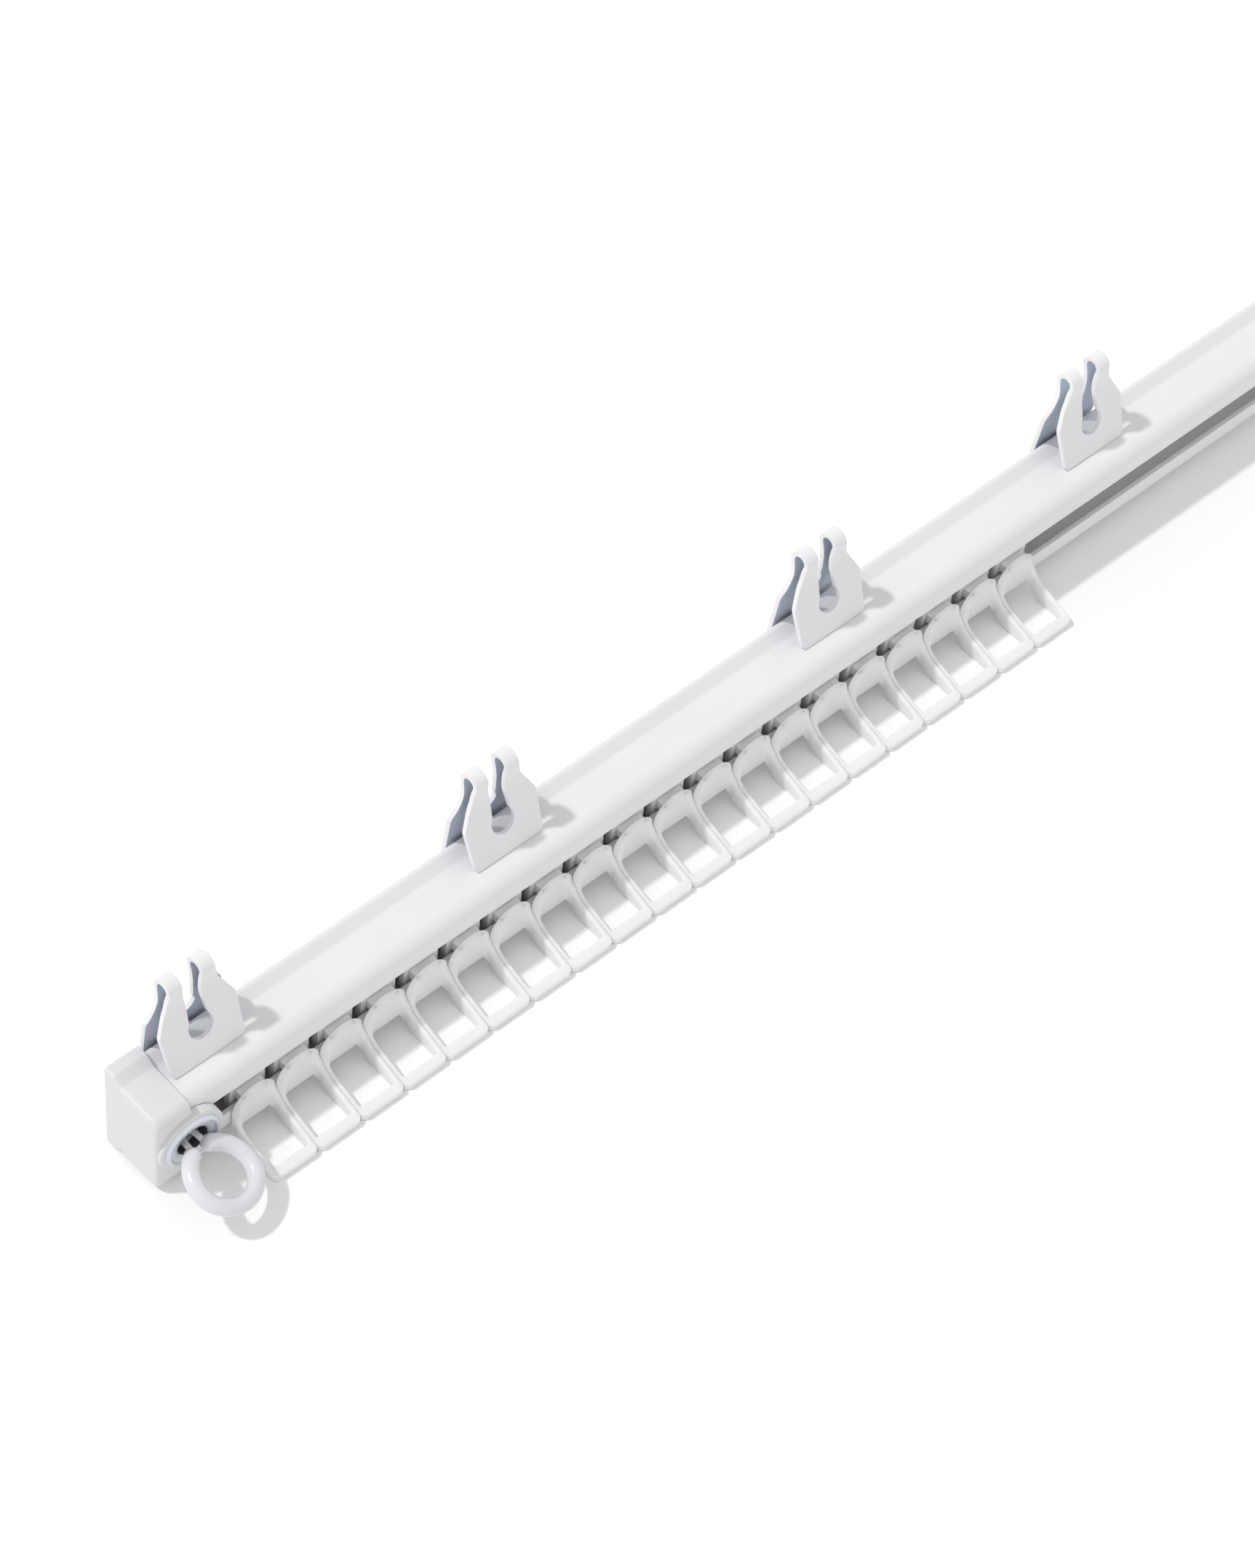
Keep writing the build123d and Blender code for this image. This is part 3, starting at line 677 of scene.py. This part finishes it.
# %% The ring's path
def ring_path():
    """The ring in its own plane: leg, outward bend, circle, bend and leg.

    The circle is a little wider than long: its half width grows towards its far side, by the
    oval's width in all.
    """
    leg_x = EYE_COAT_RADIUS + EYE_SEAM / 2
    bend_x = leg_x + EYE_BEND_RADIUS
    span = EYE_RING_RADIUS + EYE_BEND_RADIUS
    bend_y = EYE_REACH - math.sqrt(span ** 2 - bend_x ** 2)
    to_join = math.atan2(EYE_REACH - bend_y, -bend_x)
    bend = np.linspace(math.pi, to_join, RING_BEND_STEPS)
    bend = np.stack([bend_x + EYE_BEND_RADIUS * np.cos(bend), bend_y + EYE_BEND_RADIUS * np.sin(bend)], 1)
    first = to_join - math.pi
    circle = np.linspace(first, math.pi / 2, RING_CIRCLE_STEPS)[1:]
    wide = EYE_RING_RADIUS + EYE_OVAL * (1 + np.sin(circle)) / 2
    circle = np.stack([wide * np.cos(circle), EYE_REACH + EYE_RING_RADIUS * np.sin(circle)], 1)
    half = np.concatenate([[(leg_x, 0)], bend, circle])
    whole = np.concatenate([half, (half * (-1, 1))[::-1][1:]])
    return np.column_stack([whole, np.zeros(len(whole))])


def eye_turn():
    """Turns the ring's own axes into the frame's: roll about its length, droop, then swing."""
    return np.array(Matrix.Rotation(EYE_SWING, 3, "Z") @ Matrix.Rotation(math.pi + EYE_DROOP, 3, "X")
                    @ Matrix.Rotation(EYE_ROLL, 3, "Y"))


ring_points = ring_path() @ eye_turn().T + PIVOT
print("ring centre:", np.round(eye_turn() @ (0, EYE_REACH, 0) + PIVOT, 2))


# %% The ring eyes
def wire_end(side):
    """One bare end: straight back through the slot, then bent outwards behind the lip."""
    front_y = BACK_Y - RAIL_DEPTH + RAIL_WALL / 2
    x = BOSS_X + side * (EYE_WIRE_RADIUS + EYE_SEAM / 2)
    inner_y = BACK_Y - RAIL_DEPTH + RAIL_WALL + EYE_LIP_GAP + EYE_WIRE_RADIUS
    corners = [(x, front_y), (x, inner_y), (BOSS_X + side * EYE_END_REACH, inner_y)]
    path = rounded(corners, EYE_END_BEND_RADIUS, arc_steps=6, side_steps=4, closed=False)
    return carried(np.column_stack([path, np.full(len(path), AXIS_Z)]), EYE_WIRE_RADIUS, steps=14)


def strand(points, side):
    """A bare strand: out of the slot, through the eyelet's throat and on to where the coating starts."""
    slot_point = np.array([BOSS_X + side * (EYE_WIRE_RADIUS + EYE_SEAM / 2), BACK_Y - BOSS_BACK, AXIS_Z])
    lead = slot_point + (points[0] - slot_point) * np.linspace(0, 1, LEAD_STEPS)[:-1, None]
    return carried(np.concatenate([lead, points]), EYE_STRAND_RADIUS, steps=12)


way = np.concatenate([[0], np.cumsum(np.linalg.norm(np.diff(ring_points, axis=0), axis=1))])
bare = int(np.argmax(way >= EYE_BARE))
eye_surfaces = [carried(ring_points[bare:-bare], EYE_COAT_RADIUS),
                strand(ring_points[:bare + 2], 1), wire_end(1),
                strand(ring_points[::-1][:bare + 2], -1), wire_end(-1)]
for side in ("left", "right"):
    eye = make_piece(f"ring_{side}", [at_end(side, surface) for surface in eye_surfaces])
    settle(eye, f"eye_{side}", f"{side}_eye", "eye_coat", eye_coat)
print("ring eye faces:", len(eye.data.polygons))

# %% [markdown]
# A clip is one strip of spring sheet: a front foot on the rail, up to a rolled fold, and down
# behind the rail to a hook under its lower ridge. In side view its middle line is the path of the
# fold, in front view its half width and the half width of its keyhole are functions of the height.
# The surface is the path, spread sideways between those two; Solidify then gives it the sheet's
# thickness, painted outside and bare blue-grey steel inside.

# %% Sizes of the clips
CLIP_SHEET = 0.8
CLIP_LEAN = math.radians(8.0)
CLIP_BULB_RADIUS = 1.4
CLIP_BULB_HEIGHT = 14.35
CLIP_BULB_BACK = -0.5
CLIP_WAIST_DROP = 3.1
CLIP_WAIST_HALF = 0.93
CLIP_FRONT_SPREAD = math.radians(12.8)
CLIP_BACK_SPREAD = math.radians(17.0)
CLIP_BACK_GAP = 1.0
CLIP_KNEE_RADIUS = 8.0
CLIP_HOOK_BEND = 0.9
CLIP_HOOK_REACH = 1.3
CLIP_HOOK_Z = 0.5
CLIP_SEAT_GAP = 0.1
CLIP_OUTLINE = [(6.45, -20.0), (6.45, 0), (6.8, 7.4), (4.6, 11.7), (4.05, 14.35), (4.05, 20.0)]
CLIP_OUTLINE_ROUND = 1.8
CLIP_CORNER_RADIUS = 0.9
CLIP_SOFT_EDGE = 0.13
CLIP_SOFT_ANGLE = 60
KEYHOLE_RADIUS = 2.15
KEYHOLE_HEIGHT = 5.7
KEYHOLE_SLOT = [(1.8, 5.7), (1.45, 10.2), (1.8, 14.35), (1.8, 20.0)]
KEYHOLE_SLOT_ROUND = 5.0
WAIST_RADIUS = ((CLIP_WAIST_HALF ** 2 + CLIP_WAIST_DROP ** 2 - CLIP_BULB_RADIUS ** 2)
                / (2 * (CLIP_BULB_RADIUS - CLIP_WAIST_HALF)))
WAIST_STEPS = 14
FOLD_STEPS = 25
LEG_STEPS = 30
print("waist radius", round(WAIST_RADIUS, 2))


# %% The clip's side view
def leaning(points):
    """From the clip's own upright axes, s to the back and t up, to the frame's y and z."""
    s, t = np.asarray(points, float).T
    y = CLIP_BULB_BACK + s * math.cos(CLIP_LEAN) + t * math.sin(CLIP_LEAN)
    z = CLIP_BULB_HEIGHT - s * math.sin(CLIP_LEAN) + t * math.cos(CLIP_LEAN)
    return np.stack([y + BACK_Y, z + TOP_FACE_Z], 1)


def arc(centre, radius, start, end, steps):
    """Points on a circle between two angles."""
    angle = np.linspace(start, end, steps)
    return np.stack([centre[0] + radius * np.cos(angle), centre[1] + radius * np.sin(angle)], 1)


def waist(side, spread):
    """The bend between a leg and the fold, from the leg's start up to where it joins the fold.

    Its circle touches the fold's circle from outside, on the line between their centres.
    """
    centre = (side * (CLIP_WAIST_HALF + WAIST_RADIUS), -CLIP_WAIST_DROP)
    up = math.atan2(CLIP_WAIST_DROP, CLIP_WAIST_HALF + WAIST_RADIUS)
    if side < 0:
        return arc(centre, WAIST_RADIUS, -spread, up, WAIST_STEPS)
    return arc(centre, WAIST_RADIUS, math.pi + spread, math.pi - up, WAIST_STEPS)


def front_line():
    """Front leg and waist, from the foot up."""
    bend = leaning(waist(-1, CLIP_FRONT_SPREAD))
    way = bend[0] - bend[1]
    foot_z = TOP_FACE_Z + CLIP_SEAT_GAP
    foot = bend[0] + way * (foot_z - bend[0][1]) / way[1]
    leg = foot + (bend[0] - foot) * np.linspace(0, 1, LEG_STEPS)[:-1, None]
    return np.concatenate([leg, bend])


def back_line():
    """Waist, back leg, knee, the long drop behind the rail and the hook under its ridge."""
    bend = leaning(waist(1, CLIP_BACK_SPREAD))[::-1]
    way = bend[-1] - bend[-2]
    back_y = BACK_Y + CLIP_BACK_GAP + CLIP_SHEET / 2
    knee = bend[-1] + way * (back_y - bend[-1][0]) / way[0]
    corners = [bend[-1], knee, (back_y, CLIP_HOOK_Z), (BACK_Y - CLIP_HOOK_REACH, CLIP_HOOK_Z)]
    radii = [0, CLIP_KNEE_RADIUS, CLIP_HOOK_BEND, 0]
    lower = rounded(corners, radii, arc_steps=10, side_steps=12, closed=False)
    return np.concatenate([bend, lower[1:]])


def fold_line():
    """The rolled fold between the two waists."""
    down = math.atan2(CLIP_WAIST_DROP, CLIP_WAIST_HALF + WAIST_RADIUS)
    return leaning(arc((0, 0), CLIP_BULB_RADIUS, math.pi + down, -down, FOLD_STEPS))[1:-1]


print("top of the fold's middle line at z", round(fold_line()[:, 1].max(), 2))


# %% The clip's front view
def by_height(outline, height, radius):
    """Half width at each height, read off an outline with rounded corners."""
    line = rounded([(z, x) for x, z in outline], radius, arc_steps=6, closed=False)
    return np.interp(height, line[:, 0], line[:, 1])


def outer_half(height):
    """Half width of the sheet."""
    return by_height(CLIP_OUTLINE, height, CLIP_OUTLINE_ROUND)


def inner_half(height):
    """Half width of the keyhole: zero below it, the round, and above its middle the slot as well."""
    round_part = np.sqrt(np.clip(KEYHOLE_RADIUS ** 2 - (height - KEYHOLE_HEIGHT) ** 2, 0, None))
    slot_part = np.where(height > KEYHOLE_HEIGHT, by_height(KEYHOLE_SLOT, height, KEYHOLE_SLOT_ROUND), 0)
    return np.maximum(round_part, slot_part)


print("half widths at the keyhole:", float(outer_half(KEYHOLE_HEIGHT)), float(inner_half(KEYHOLE_HEIGHT)))


# %% Rows where the outline turns
def stations(line, ascending):
    """Re-samples a leg so that rows fall on the round of the keyhole and on the foot's corners."""
    height = line[:, 1] - TOP_FACE_Z
    order = np.argsort(height)
    keyhole_marks = KEYHOLE_HEIGHT - KEYHOLE_RADIUS * np.cos(np.radians(np.arange(0, 181, 9)))
    corner_marks = CLIP_SEAT_GAP + CLIP_CORNER_RADIUS * (1 - np.cos(np.radians(np.arange(0, 91, 15))))
    marks = np.concatenate([keyhole_marks, height, corner_marks])
    marks = np.unique(np.round(marks[(marks >= height.min()) & (marks <= height.max())], 4))
    y = np.interp(marks, height[order], line[order, 0])
    rows = np.stack([y, marks + TOP_FACE_Z], 1)
    return rows if ascending else rows[::-1]


print("rows on the front leg:", len(stations(front_line(), True)))


# %% The clips
SIDE_COLUMNS = 9
BELOW_TOP_FACE = 1


def clip_surface(x):
    """Mid-surface of a clip at x: two mirrored grids that share the middle line below the keyhole.

    Across, each grid runs from the keyhole's edge to the sheet's edge in cosine steps. On the
    front foot a quarter of a circle is taken off the outer edge, which rounds its two corners.
    """
    front = stations(front_line(), True)
    back = back_line()
    straight = np.argmax(back[:, 1] < TOP_FACE_Z - BELOW_TOP_FACE)
    upper_back = stations(back[:straight], False)
    lower_back = back[straight:]
    path = np.concatenate([front, fold_line(), upper_back, lower_back])
    height = path[:, 1] - TOP_FACE_Z
    outer = outer_half(height)
    inner = inner_half(height)
    in_front = np.arange(len(path)) < len(front)
    rise = np.clip(CLIP_CORNER_RADIUS - (height - CLIP_SEAT_GAP), 0, CLIP_CORNER_RADIUS)
    cut = CLIP_CORNER_RADIUS - np.sqrt(CLIP_CORNER_RADIUS ** 2 - rise ** 2)
    outer = outer - np.where(in_front, cut, 0)
    share = (1 - np.cos(np.linspace(0, math.pi, SIDE_COLUMNS))) / 2
    half = inner[:, None] + (outer - inner)[:, None] * share
    halves = []
    for sign in (1, -1):
        grid = np.zeros((len(path), SIDE_COLUMNS, 3))
        grid[:, :, 0] = x + sign * half
        grid[:, :, 1] = path[:, 0][:, None]
        grid[:, :, 2] = path[:, 1][:, None]
        points, faces = tube(grid, ends=False, around=False)
        if sign < 0:
            faces = [face[::-1] for face in faces]
        halves.append((points, faces))
    return halves


def make_clip(number):
    """One clip: mid-surface, thickness and soft edges."""
    low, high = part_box(f"clip_{number}")
    clip = make_piece(f"spring_clip_{number}", clip_surface((low.x + high.x) / 2 / MM), solid=False)
    solid = clip.modifiers.new("sheet", "SOLIDIFY")
    solid.thickness = CLIP_SHEET * MM
    solid.offset = 0
    solid.use_even_offset = True
    solid.material_offset = 1
    soften(clip, CLIP_SOFT_EDGE, CLIP_SOFT_ANGLE)
    settle(clip, f"clip_{number}", f"clip_body_{number}", "clip_paint", clip_paint, clip_inside)
    return clip


for number in range(1, 5):
    clip = make_clip(number)
print("clip surface faces:", len(clip.data.polygons))

# %% [markdown]
# A glider is a milky plastic moulding. Its head and neck run in the slot, and in front of them hangs
# a loop for the curtain hook: an arched plate at the rail, two sides that spring down from it, and a
# flat bar. The loop is one closed band. Half of it is a list of stations, from the top of the arch
# down one side to the middle of the bar, and each station has a place on the outer rim and one on the
# inner rim. The other half is its mirror image. The section is rounded a little outside and a lot
# inside, which is what makes a moulding look soft.

# %% Sizes of the gliders
GLIDER_HALF = 4.02
GLIDER_LIP_GAP = 0.2
GLIDER_HEAD_GAP = 0.3
GLIDER_HEAD_THICKNESS = 1.3
GLIDER_HEAD_HALF_HEIGHT = 4.5
GLIDER_HEAD_HALF = 3.2
GLIDER_NECK_HALF = 2.2
GLIDER_NECK_HEIGHT = 2.0
GLIDER_SLOT_GAP = 0.3
GLIDER_SOFT_EDGE = 0.12
GLIDER_SOFT_ANGLE = 50
LOOP_REACH = 10.2
LOOP_PLATE_THICKNESS = 0.75
LOOP_BAR_DEPTH = 1.7
LOOP_WALL = 0.85
LOOP_BACK = RAIL_DEPTH + GLIDER_LIP_GAP
LOOP_FRONT = RAIL_DEPTH + LOOP_REACH
LOOP_PLATE = LOOP_BACK + LOOP_PLATE_THICKNESS
LOOP_BAR = LOOP_FRONT - LOOP_BAR_DEPTH
LOOP_INNER_HALF = GLIDER_HALF - LOOP_WALL
ARCH_RADIUS = 3.95
ARCH_RIM_RADIUS = 3.25
ARCH_COVER = 0.95
ARCH_AXIS_Z = AXIS_Z - SLOT_HALF + GLIDER_SLOT_GAP + GLIDER_NECK_HEIGHT + ARCH_COVER - ARCH_RADIUS
SPRING_RUN = 2.65
SPRING_DEPTH = LOOP_PLATE + SPRING_RUN
SPRING_HEIGHT = 3.25
BAR_TOP = 1.35
SCOOP_RADIUS = 3.4
THROAT_RADIUS = 0.8
LOOP_CORNER_RADIUS = 0.95
BAR_CORNER_RADIUS = 0.15
SHOULDER_DEPTH = LOOP_PLATE + THROAT_RADIUS
print("arch axis at z", round(ARCH_AXIS_Z, 2))


# %% Heights of the loop
def loop_top(depth):
    """Height of the sides: a circle that springs from the plate, then a straight fall to the bar.

    The circle is the one through the plate's edge that is tangent to the straight part.
    """
    slope = (SPRING_HEIGHT - BAR_TOP) / (LOOP_FRONT - SPRING_DEPTH)
    run = SPRING_DEPTH - LOOP_PLATE
    rise = ARCH_AXIS_Z - SPRING_HEIGHT
    radius = (run ** 2 + rise ** 2) * math.hypot(1, slope) / (2 * (rise - slope * run))
    centre_depth = SPRING_DEPTH + radius * slope / math.hypot(1, slope)
    centre_height = SPRING_HEIGHT + radius / math.hypot(1, slope)
    inside = np.clip(radius ** 2 - (centre_depth - depth) ** 2, 0, None)
    circle = centre_height - np.sqrt(inside)
    straight = SPRING_HEIGHT - slope * (depth - SPRING_DEPTH)
    return np.where(depth < SPRING_DEPTH, circle, straight)


def loop_under(depth):
    """Height of the underside: the plate's foot, then a quarter of a circle down to the table."""
    back = np.clip(LOOP_PLATE + SCOOP_RADIUS - depth, 0, SCOOP_RADIUS)
    return SCOOP_RADIUS - np.sqrt(SCOOP_RADIUS ** 2 - back ** 2)


print("side at the plate and at the bar:", loop_top(LOOP_PLATE).round(2), loop_top(LOOP_BAR).round(2))


# %% Stations of the loop
CORNER_ANGLE = math.acos((LOOP_INNER_HALF - THROAT_RADIUS) / ARCH_RIM_RADIUS)
QUARTER_STEPS = 9
ARCH_STEPS = 12
ARCH_END_STEPS = 9
PLATE_END_STEPS = 4
SIDE_STEPS = 6


def quarter(half, depth, radius):
    """A corner in plan: a quarter of a circle that ends at this half width and at this depth."""
    centre = (half - radius, depth - radius)
    angle = np.linspace(0, math.pi / 2, QUARTER_STEPS)
    return np.stack([centre[0] + radius * np.cos(angle), centre[1] + radius * np.sin(angle)], 1)


def shared_stations():
    """Angles along the arch, and depths along the plate's end and along the side."""
    arch = np.concatenate([np.linspace(math.pi / 2, CORNER_ANGLE, ARCH_STEPS),
                           np.linspace(CORNER_ANGLE, 0, ARCH_END_STEPS)[1:]])
    scoop = LOOP_PLATE + SCOOP_RADIUS * (1 - np.cos(np.radians(np.arange(0, 91, 10))))
    plate_end = np.concatenate([np.linspace(LOOP_BACK, LOOP_PLATE, PLATE_END_STEPS)[1:],
                                scoop[(scoop > LOOP_PLATE) & (scoop < SHOULDER_DEPTH)], [SHOULDER_DEPTH]])
    side = np.concatenate([scoop[scoop > SHOULDER_DEPTH], np.linspace(scoop[-1], LOOP_BAR, SIDE_STEPS)[1:]])
    return arch, plate_end, side


print("stations on arch, plate end and side:", [len(part) for part in shared_stations()])


# %% The outer rim
def outer_rim():
    """Half the outer rim as (x, depth, height): arch, plate's end, side, rounded corner and bar.

    The arch is an ellipse as wide as the glider and nearly a circle. On the plate's end the
    height falls in a straight line from the arch's axis to the side.
    """
    arch, plate_end, side = shared_stations()
    turn = quarter(GLIDER_HALF, LOOP_FRONT, LOOP_CORNER_RADIUS)
    arch_height = ARCH_AXIS_Z + ARCH_RADIUS * np.sin(arch)
    end_height = np.interp(plate_end, (LOOP_BACK, SHOULDER_DEPTH), (ARCH_AXIS_Z, loop_top(SHOULDER_DEPTH)))
    return np.concatenate([
        np.stack([GLIDER_HALF * np.cos(arch), np.full(len(arch), LOOP_BACK), arch_height], 1),
        np.stack([np.full(len(plate_end), GLIDER_HALF), plate_end, end_height], 1),
        np.stack([np.full(len(side), GLIDER_HALF), side, loop_top(side)], 1),
        np.column_stack([turn, loop_top(turn[:, 1])]),
        [(0, LOOP_FRONT, BAR_TOP)]])


print("outer rim stations:", len(outer_rim()))

# %% The inner rim
SLOPE_STEP = 0.01
SAME_ANGLE = 1e-9


def throat_height(share):
    """Height round the throat's corner: the cubic with the arch's height and slope at its start
    and the side's at its end, over the corner's length."""
    length = THROAT_RADIUS * math.pi / 2
    start = ARCH_AXIS_Z + ARCH_RIM_RADIUS * math.sin(CORNER_ANGLE)
    end = float(loop_top(SHOULDER_DEPTH))
    start_slope = -length / math.tan(CORNER_ANGLE)
    end_slope = length * float(loop_top(SHOULDER_DEPTH + SLOPE_STEP) - end) / SLOPE_STEP
    return (start * (2 * share ** 3 - 3 * share ** 2 + 1)
            + start_slope * (share ** 3 - 2 * share ** 2 + share)
            + end * (3 * share ** 2 - 2 * share ** 3)
            + end_slope * (share ** 3 - share ** 2))


def inner_rim():
    """Half the inner rim, station for station with the outer one.

    On the arch it is a circle about the same axis. Where the throat's corner starts it leaves
    that circle, rounds the corner in plan and comes down to the side.
    """
    arch, plate_end, side = shared_stations()
    free = arch[arch >= CORNER_ANGLE - SAME_ANGLE]
    count = len(arch) - len(free) + len(plate_end)
    share = np.arange(1, count + 1) / count
    corner = math.pi / 2 * share
    bar_turn = quarter(LOOP_INNER_HALF, LOOP_BAR, BAR_CORNER_RADIUS)
    return np.concatenate([
        np.stack([ARCH_RIM_RADIUS * np.cos(free), np.full(len(free), LOOP_PLATE),
                  ARCH_AXIS_Z + ARCH_RIM_RADIUS * np.sin(free)], 1),
        np.stack([LOOP_INNER_HALF - THROAT_RADIUS * (1 - np.sin(corner)),
                  LOOP_PLATE + THROAT_RADIUS * (1 - np.cos(corner)), throat_height(share)], 1),
        np.stack([np.full(len(side), LOOP_INNER_HALF), np.minimum(side, LOOP_BAR - BAR_CORNER_RADIUS),
                  loop_top(side)], 1),
        np.column_stack([bar_turn, loop_top(bar_turn[:, 1])]),
        [(0, LOOP_BAR, loop_top(LOOP_BAR))]])


print("inner rim stations:", len(inner_rim()))

# %% The loop's rounded section
LOOP_FOOT_ROUND = 0.12
LOOP_OUTER_ROUND = 0.1
LOOP_INNER_ROUND_TOP = 0.45
LOOP_INNER_ROUND_WALL = 1.5
NEARLY_HALF = 0.48


def rounding(before, corner, after, steps):
    """A corner drawn as a parabola between two points, the corner being its control point."""
    share = np.linspace(0, 1, steps)[None, :, None]
    return ((1 - share) ** 2 * before[:, None] + 2 * share * (1 - share) * corner[:, None]
            + share ** 2 * after[:, None])


def toward(start, end, distance):
    """Points so far from start on the way to end, but no further than just under half way."""
    way = end - start
    length = np.linalg.norm(way, axis=1)[:, None]
    return start + way * np.minimum(distance / length, NEARLY_HALF)


def whole_rim(half):
    """Half a rim and its mirror image, as one closed row of points."""
    return np.concatenate([half, (half * (-1, 1, 1))[::-1][1:-1]])


def loop_surface(x):
    """The closed band: foot and rim outside, rim and foot inside, with rounded corners."""
    outer = whole_rim(outer_rim())
    inner = whole_rim(inner_rim())
    outer_foot = np.column_stack([outer[:, :2], loop_under(outer[:, 1])])
    inner_foot = np.column_stack([inner[:, :2], loop_under(inner[:, 1])])
    grid = np.concatenate([
        rounding(toward(outer_foot, inner_foot, LOOP_FOOT_ROUND), outer_foot,
                 toward(outer_foot, outer, LOOP_FOOT_ROUND), 3),
        rounding(toward(outer, outer_foot, LOOP_OUTER_ROUND), outer,
                 toward(outer, inner, LOOP_OUTER_ROUND), 4),
        rounding(toward(inner, outer, LOOP_INNER_ROUND_TOP), inner,
                 toward(inner, inner_foot, LOOP_INNER_ROUND_WALL), 8),
        rounding(toward(inner_foot, inner, LOOP_FOOT_ROUND), inner_foot,
                 toward(inner_foot, outer_foot, LOOP_FOOT_ROUND), 3)], 1)
    placed = np.stack([x + grid[:, :, 0], BACK_Y - grid[:, :, 1], grid[:, :, 2]], -1)
    return tube(placed, ends=False, along=True)


print("loop points:", len(loop_surface(0)[0]))


# %% The gliders
HEAD_OVERLAP = 0.1


def block(low, high):
    """A six-sided block between two corners, as one ring carried from back to front."""
    low, high = np.array(low, float), np.array(high, float)
    ring = np.array([(low[0], low[2]), (high[0], low[2]), (high[0], high[2]), (low[0], high[2])])
    grid = np.zeros((2, 4, 3))
    grid[:, :, [0, 2]] = ring
    grid[:, :, 1] = np.array([low[1], high[1]])[:, None]
    return tube(grid)


def make_glider(number):
    """One glider: the loop, the neck through the slot and the head behind the lips."""
    name = f"glider_{number:02d}"
    low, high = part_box(name)
    x = (low.x + high.x) / 2 / MM
    neck_z = AXIS_Z - SLOT_HALF + GLIDER_SLOT_GAP
    head_y = BACK_Y - RAIL_DEPTH + RAIL_WALL + GLIDER_HEAD_GAP
    neck = block((x - GLIDER_NECK_HALF, BACK_Y - (LOOP_BACK + LOOP_PLATE) / 2, neck_z),
                 (x + GLIDER_NECK_HALF, head_y + HEAD_OVERLAP, neck_z + GLIDER_NECK_HEIGHT))
    head = block((x - GLIDER_HEAD_HALF, head_y, AXIS_Z - GLIDER_HEAD_HALF_HEIGHT),
                 (x + GLIDER_HEAD_HALF, head_y + GLIDER_HEAD_THICKNESS, AXIS_Z + GLIDER_HEAD_HALF_HEIGHT))
    glider = make_piece(f"loop_{name}", [loop_surface(x), neck, head])
    soften(glider, GLIDER_SOFT_EDGE, GLIDER_SOFT_ANGLE)
    settle(glider, name, f"glider_body_{number:02d}", "glider_plastic", glider_plastic)
    return glider


for number in range(1, 21):
    glider = make_glider(number)
print("glider faces:", len(glider.data.polygons))

# %% [markdown]
# The table is a plain white sheet under everything. It isn't part of the object, so it is only
# staged: it takes the shadow and goes white where the light falls full.

# %% The table
TABLE_HALF = 6.0
TABLE_DROP = 0.00002
TABLE_LIFT = 0.05


def table_white():
    """White card. The camera sees it a shade brighter than it is, which lightens the shadows."""
    material = finish("table_white", (0.98, 0.98, 0.98), 0.9, tone=0.002, grain=2.0, bump=0.0)
    nodes = material.node_tree.nodes
    links = material.node_tree.links
    path = nodes.new("ShaderNodeLightPath")
    lift = nodes.new("ShaderNodeMath")
    lift.operation = "MULTIPLY"
    lift.inputs[1].default_value = TABLE_LIFT
    links.new(path.outputs["Is Camera Ray"], lift.inputs[0])
    shader = nodes["Principled BSDF"]
    shader.inputs["Emission Color"].default_value = WHITE
    links.new(lift.outputs[0], shader.inputs["Emission Strength"])
    return material


def add_table():
    """A wide white plane just under the object."""
    corners = [(-TABLE_HALF, -TABLE_HALF, -TABLE_DROP), (TABLE_HALF, -TABLE_HALF, -TABLE_DROP),
               (TABLE_HALF, TABLE_HALF, -TABLE_DROP), (-TABLE_HALF, TABLE_HALF, -TABLE_DROP)]
    mesh = bpy.data.meshes.new("table")
    mesh.from_pydata(corners, [], [(0, 1, 2, 3)])
    table = bpy.data.objects.new("table", mesh)
    bpy.context.scene.collection.objects.link(table)
    table.data.materials.append(table_white())


add_table()
print("table laid under the object")
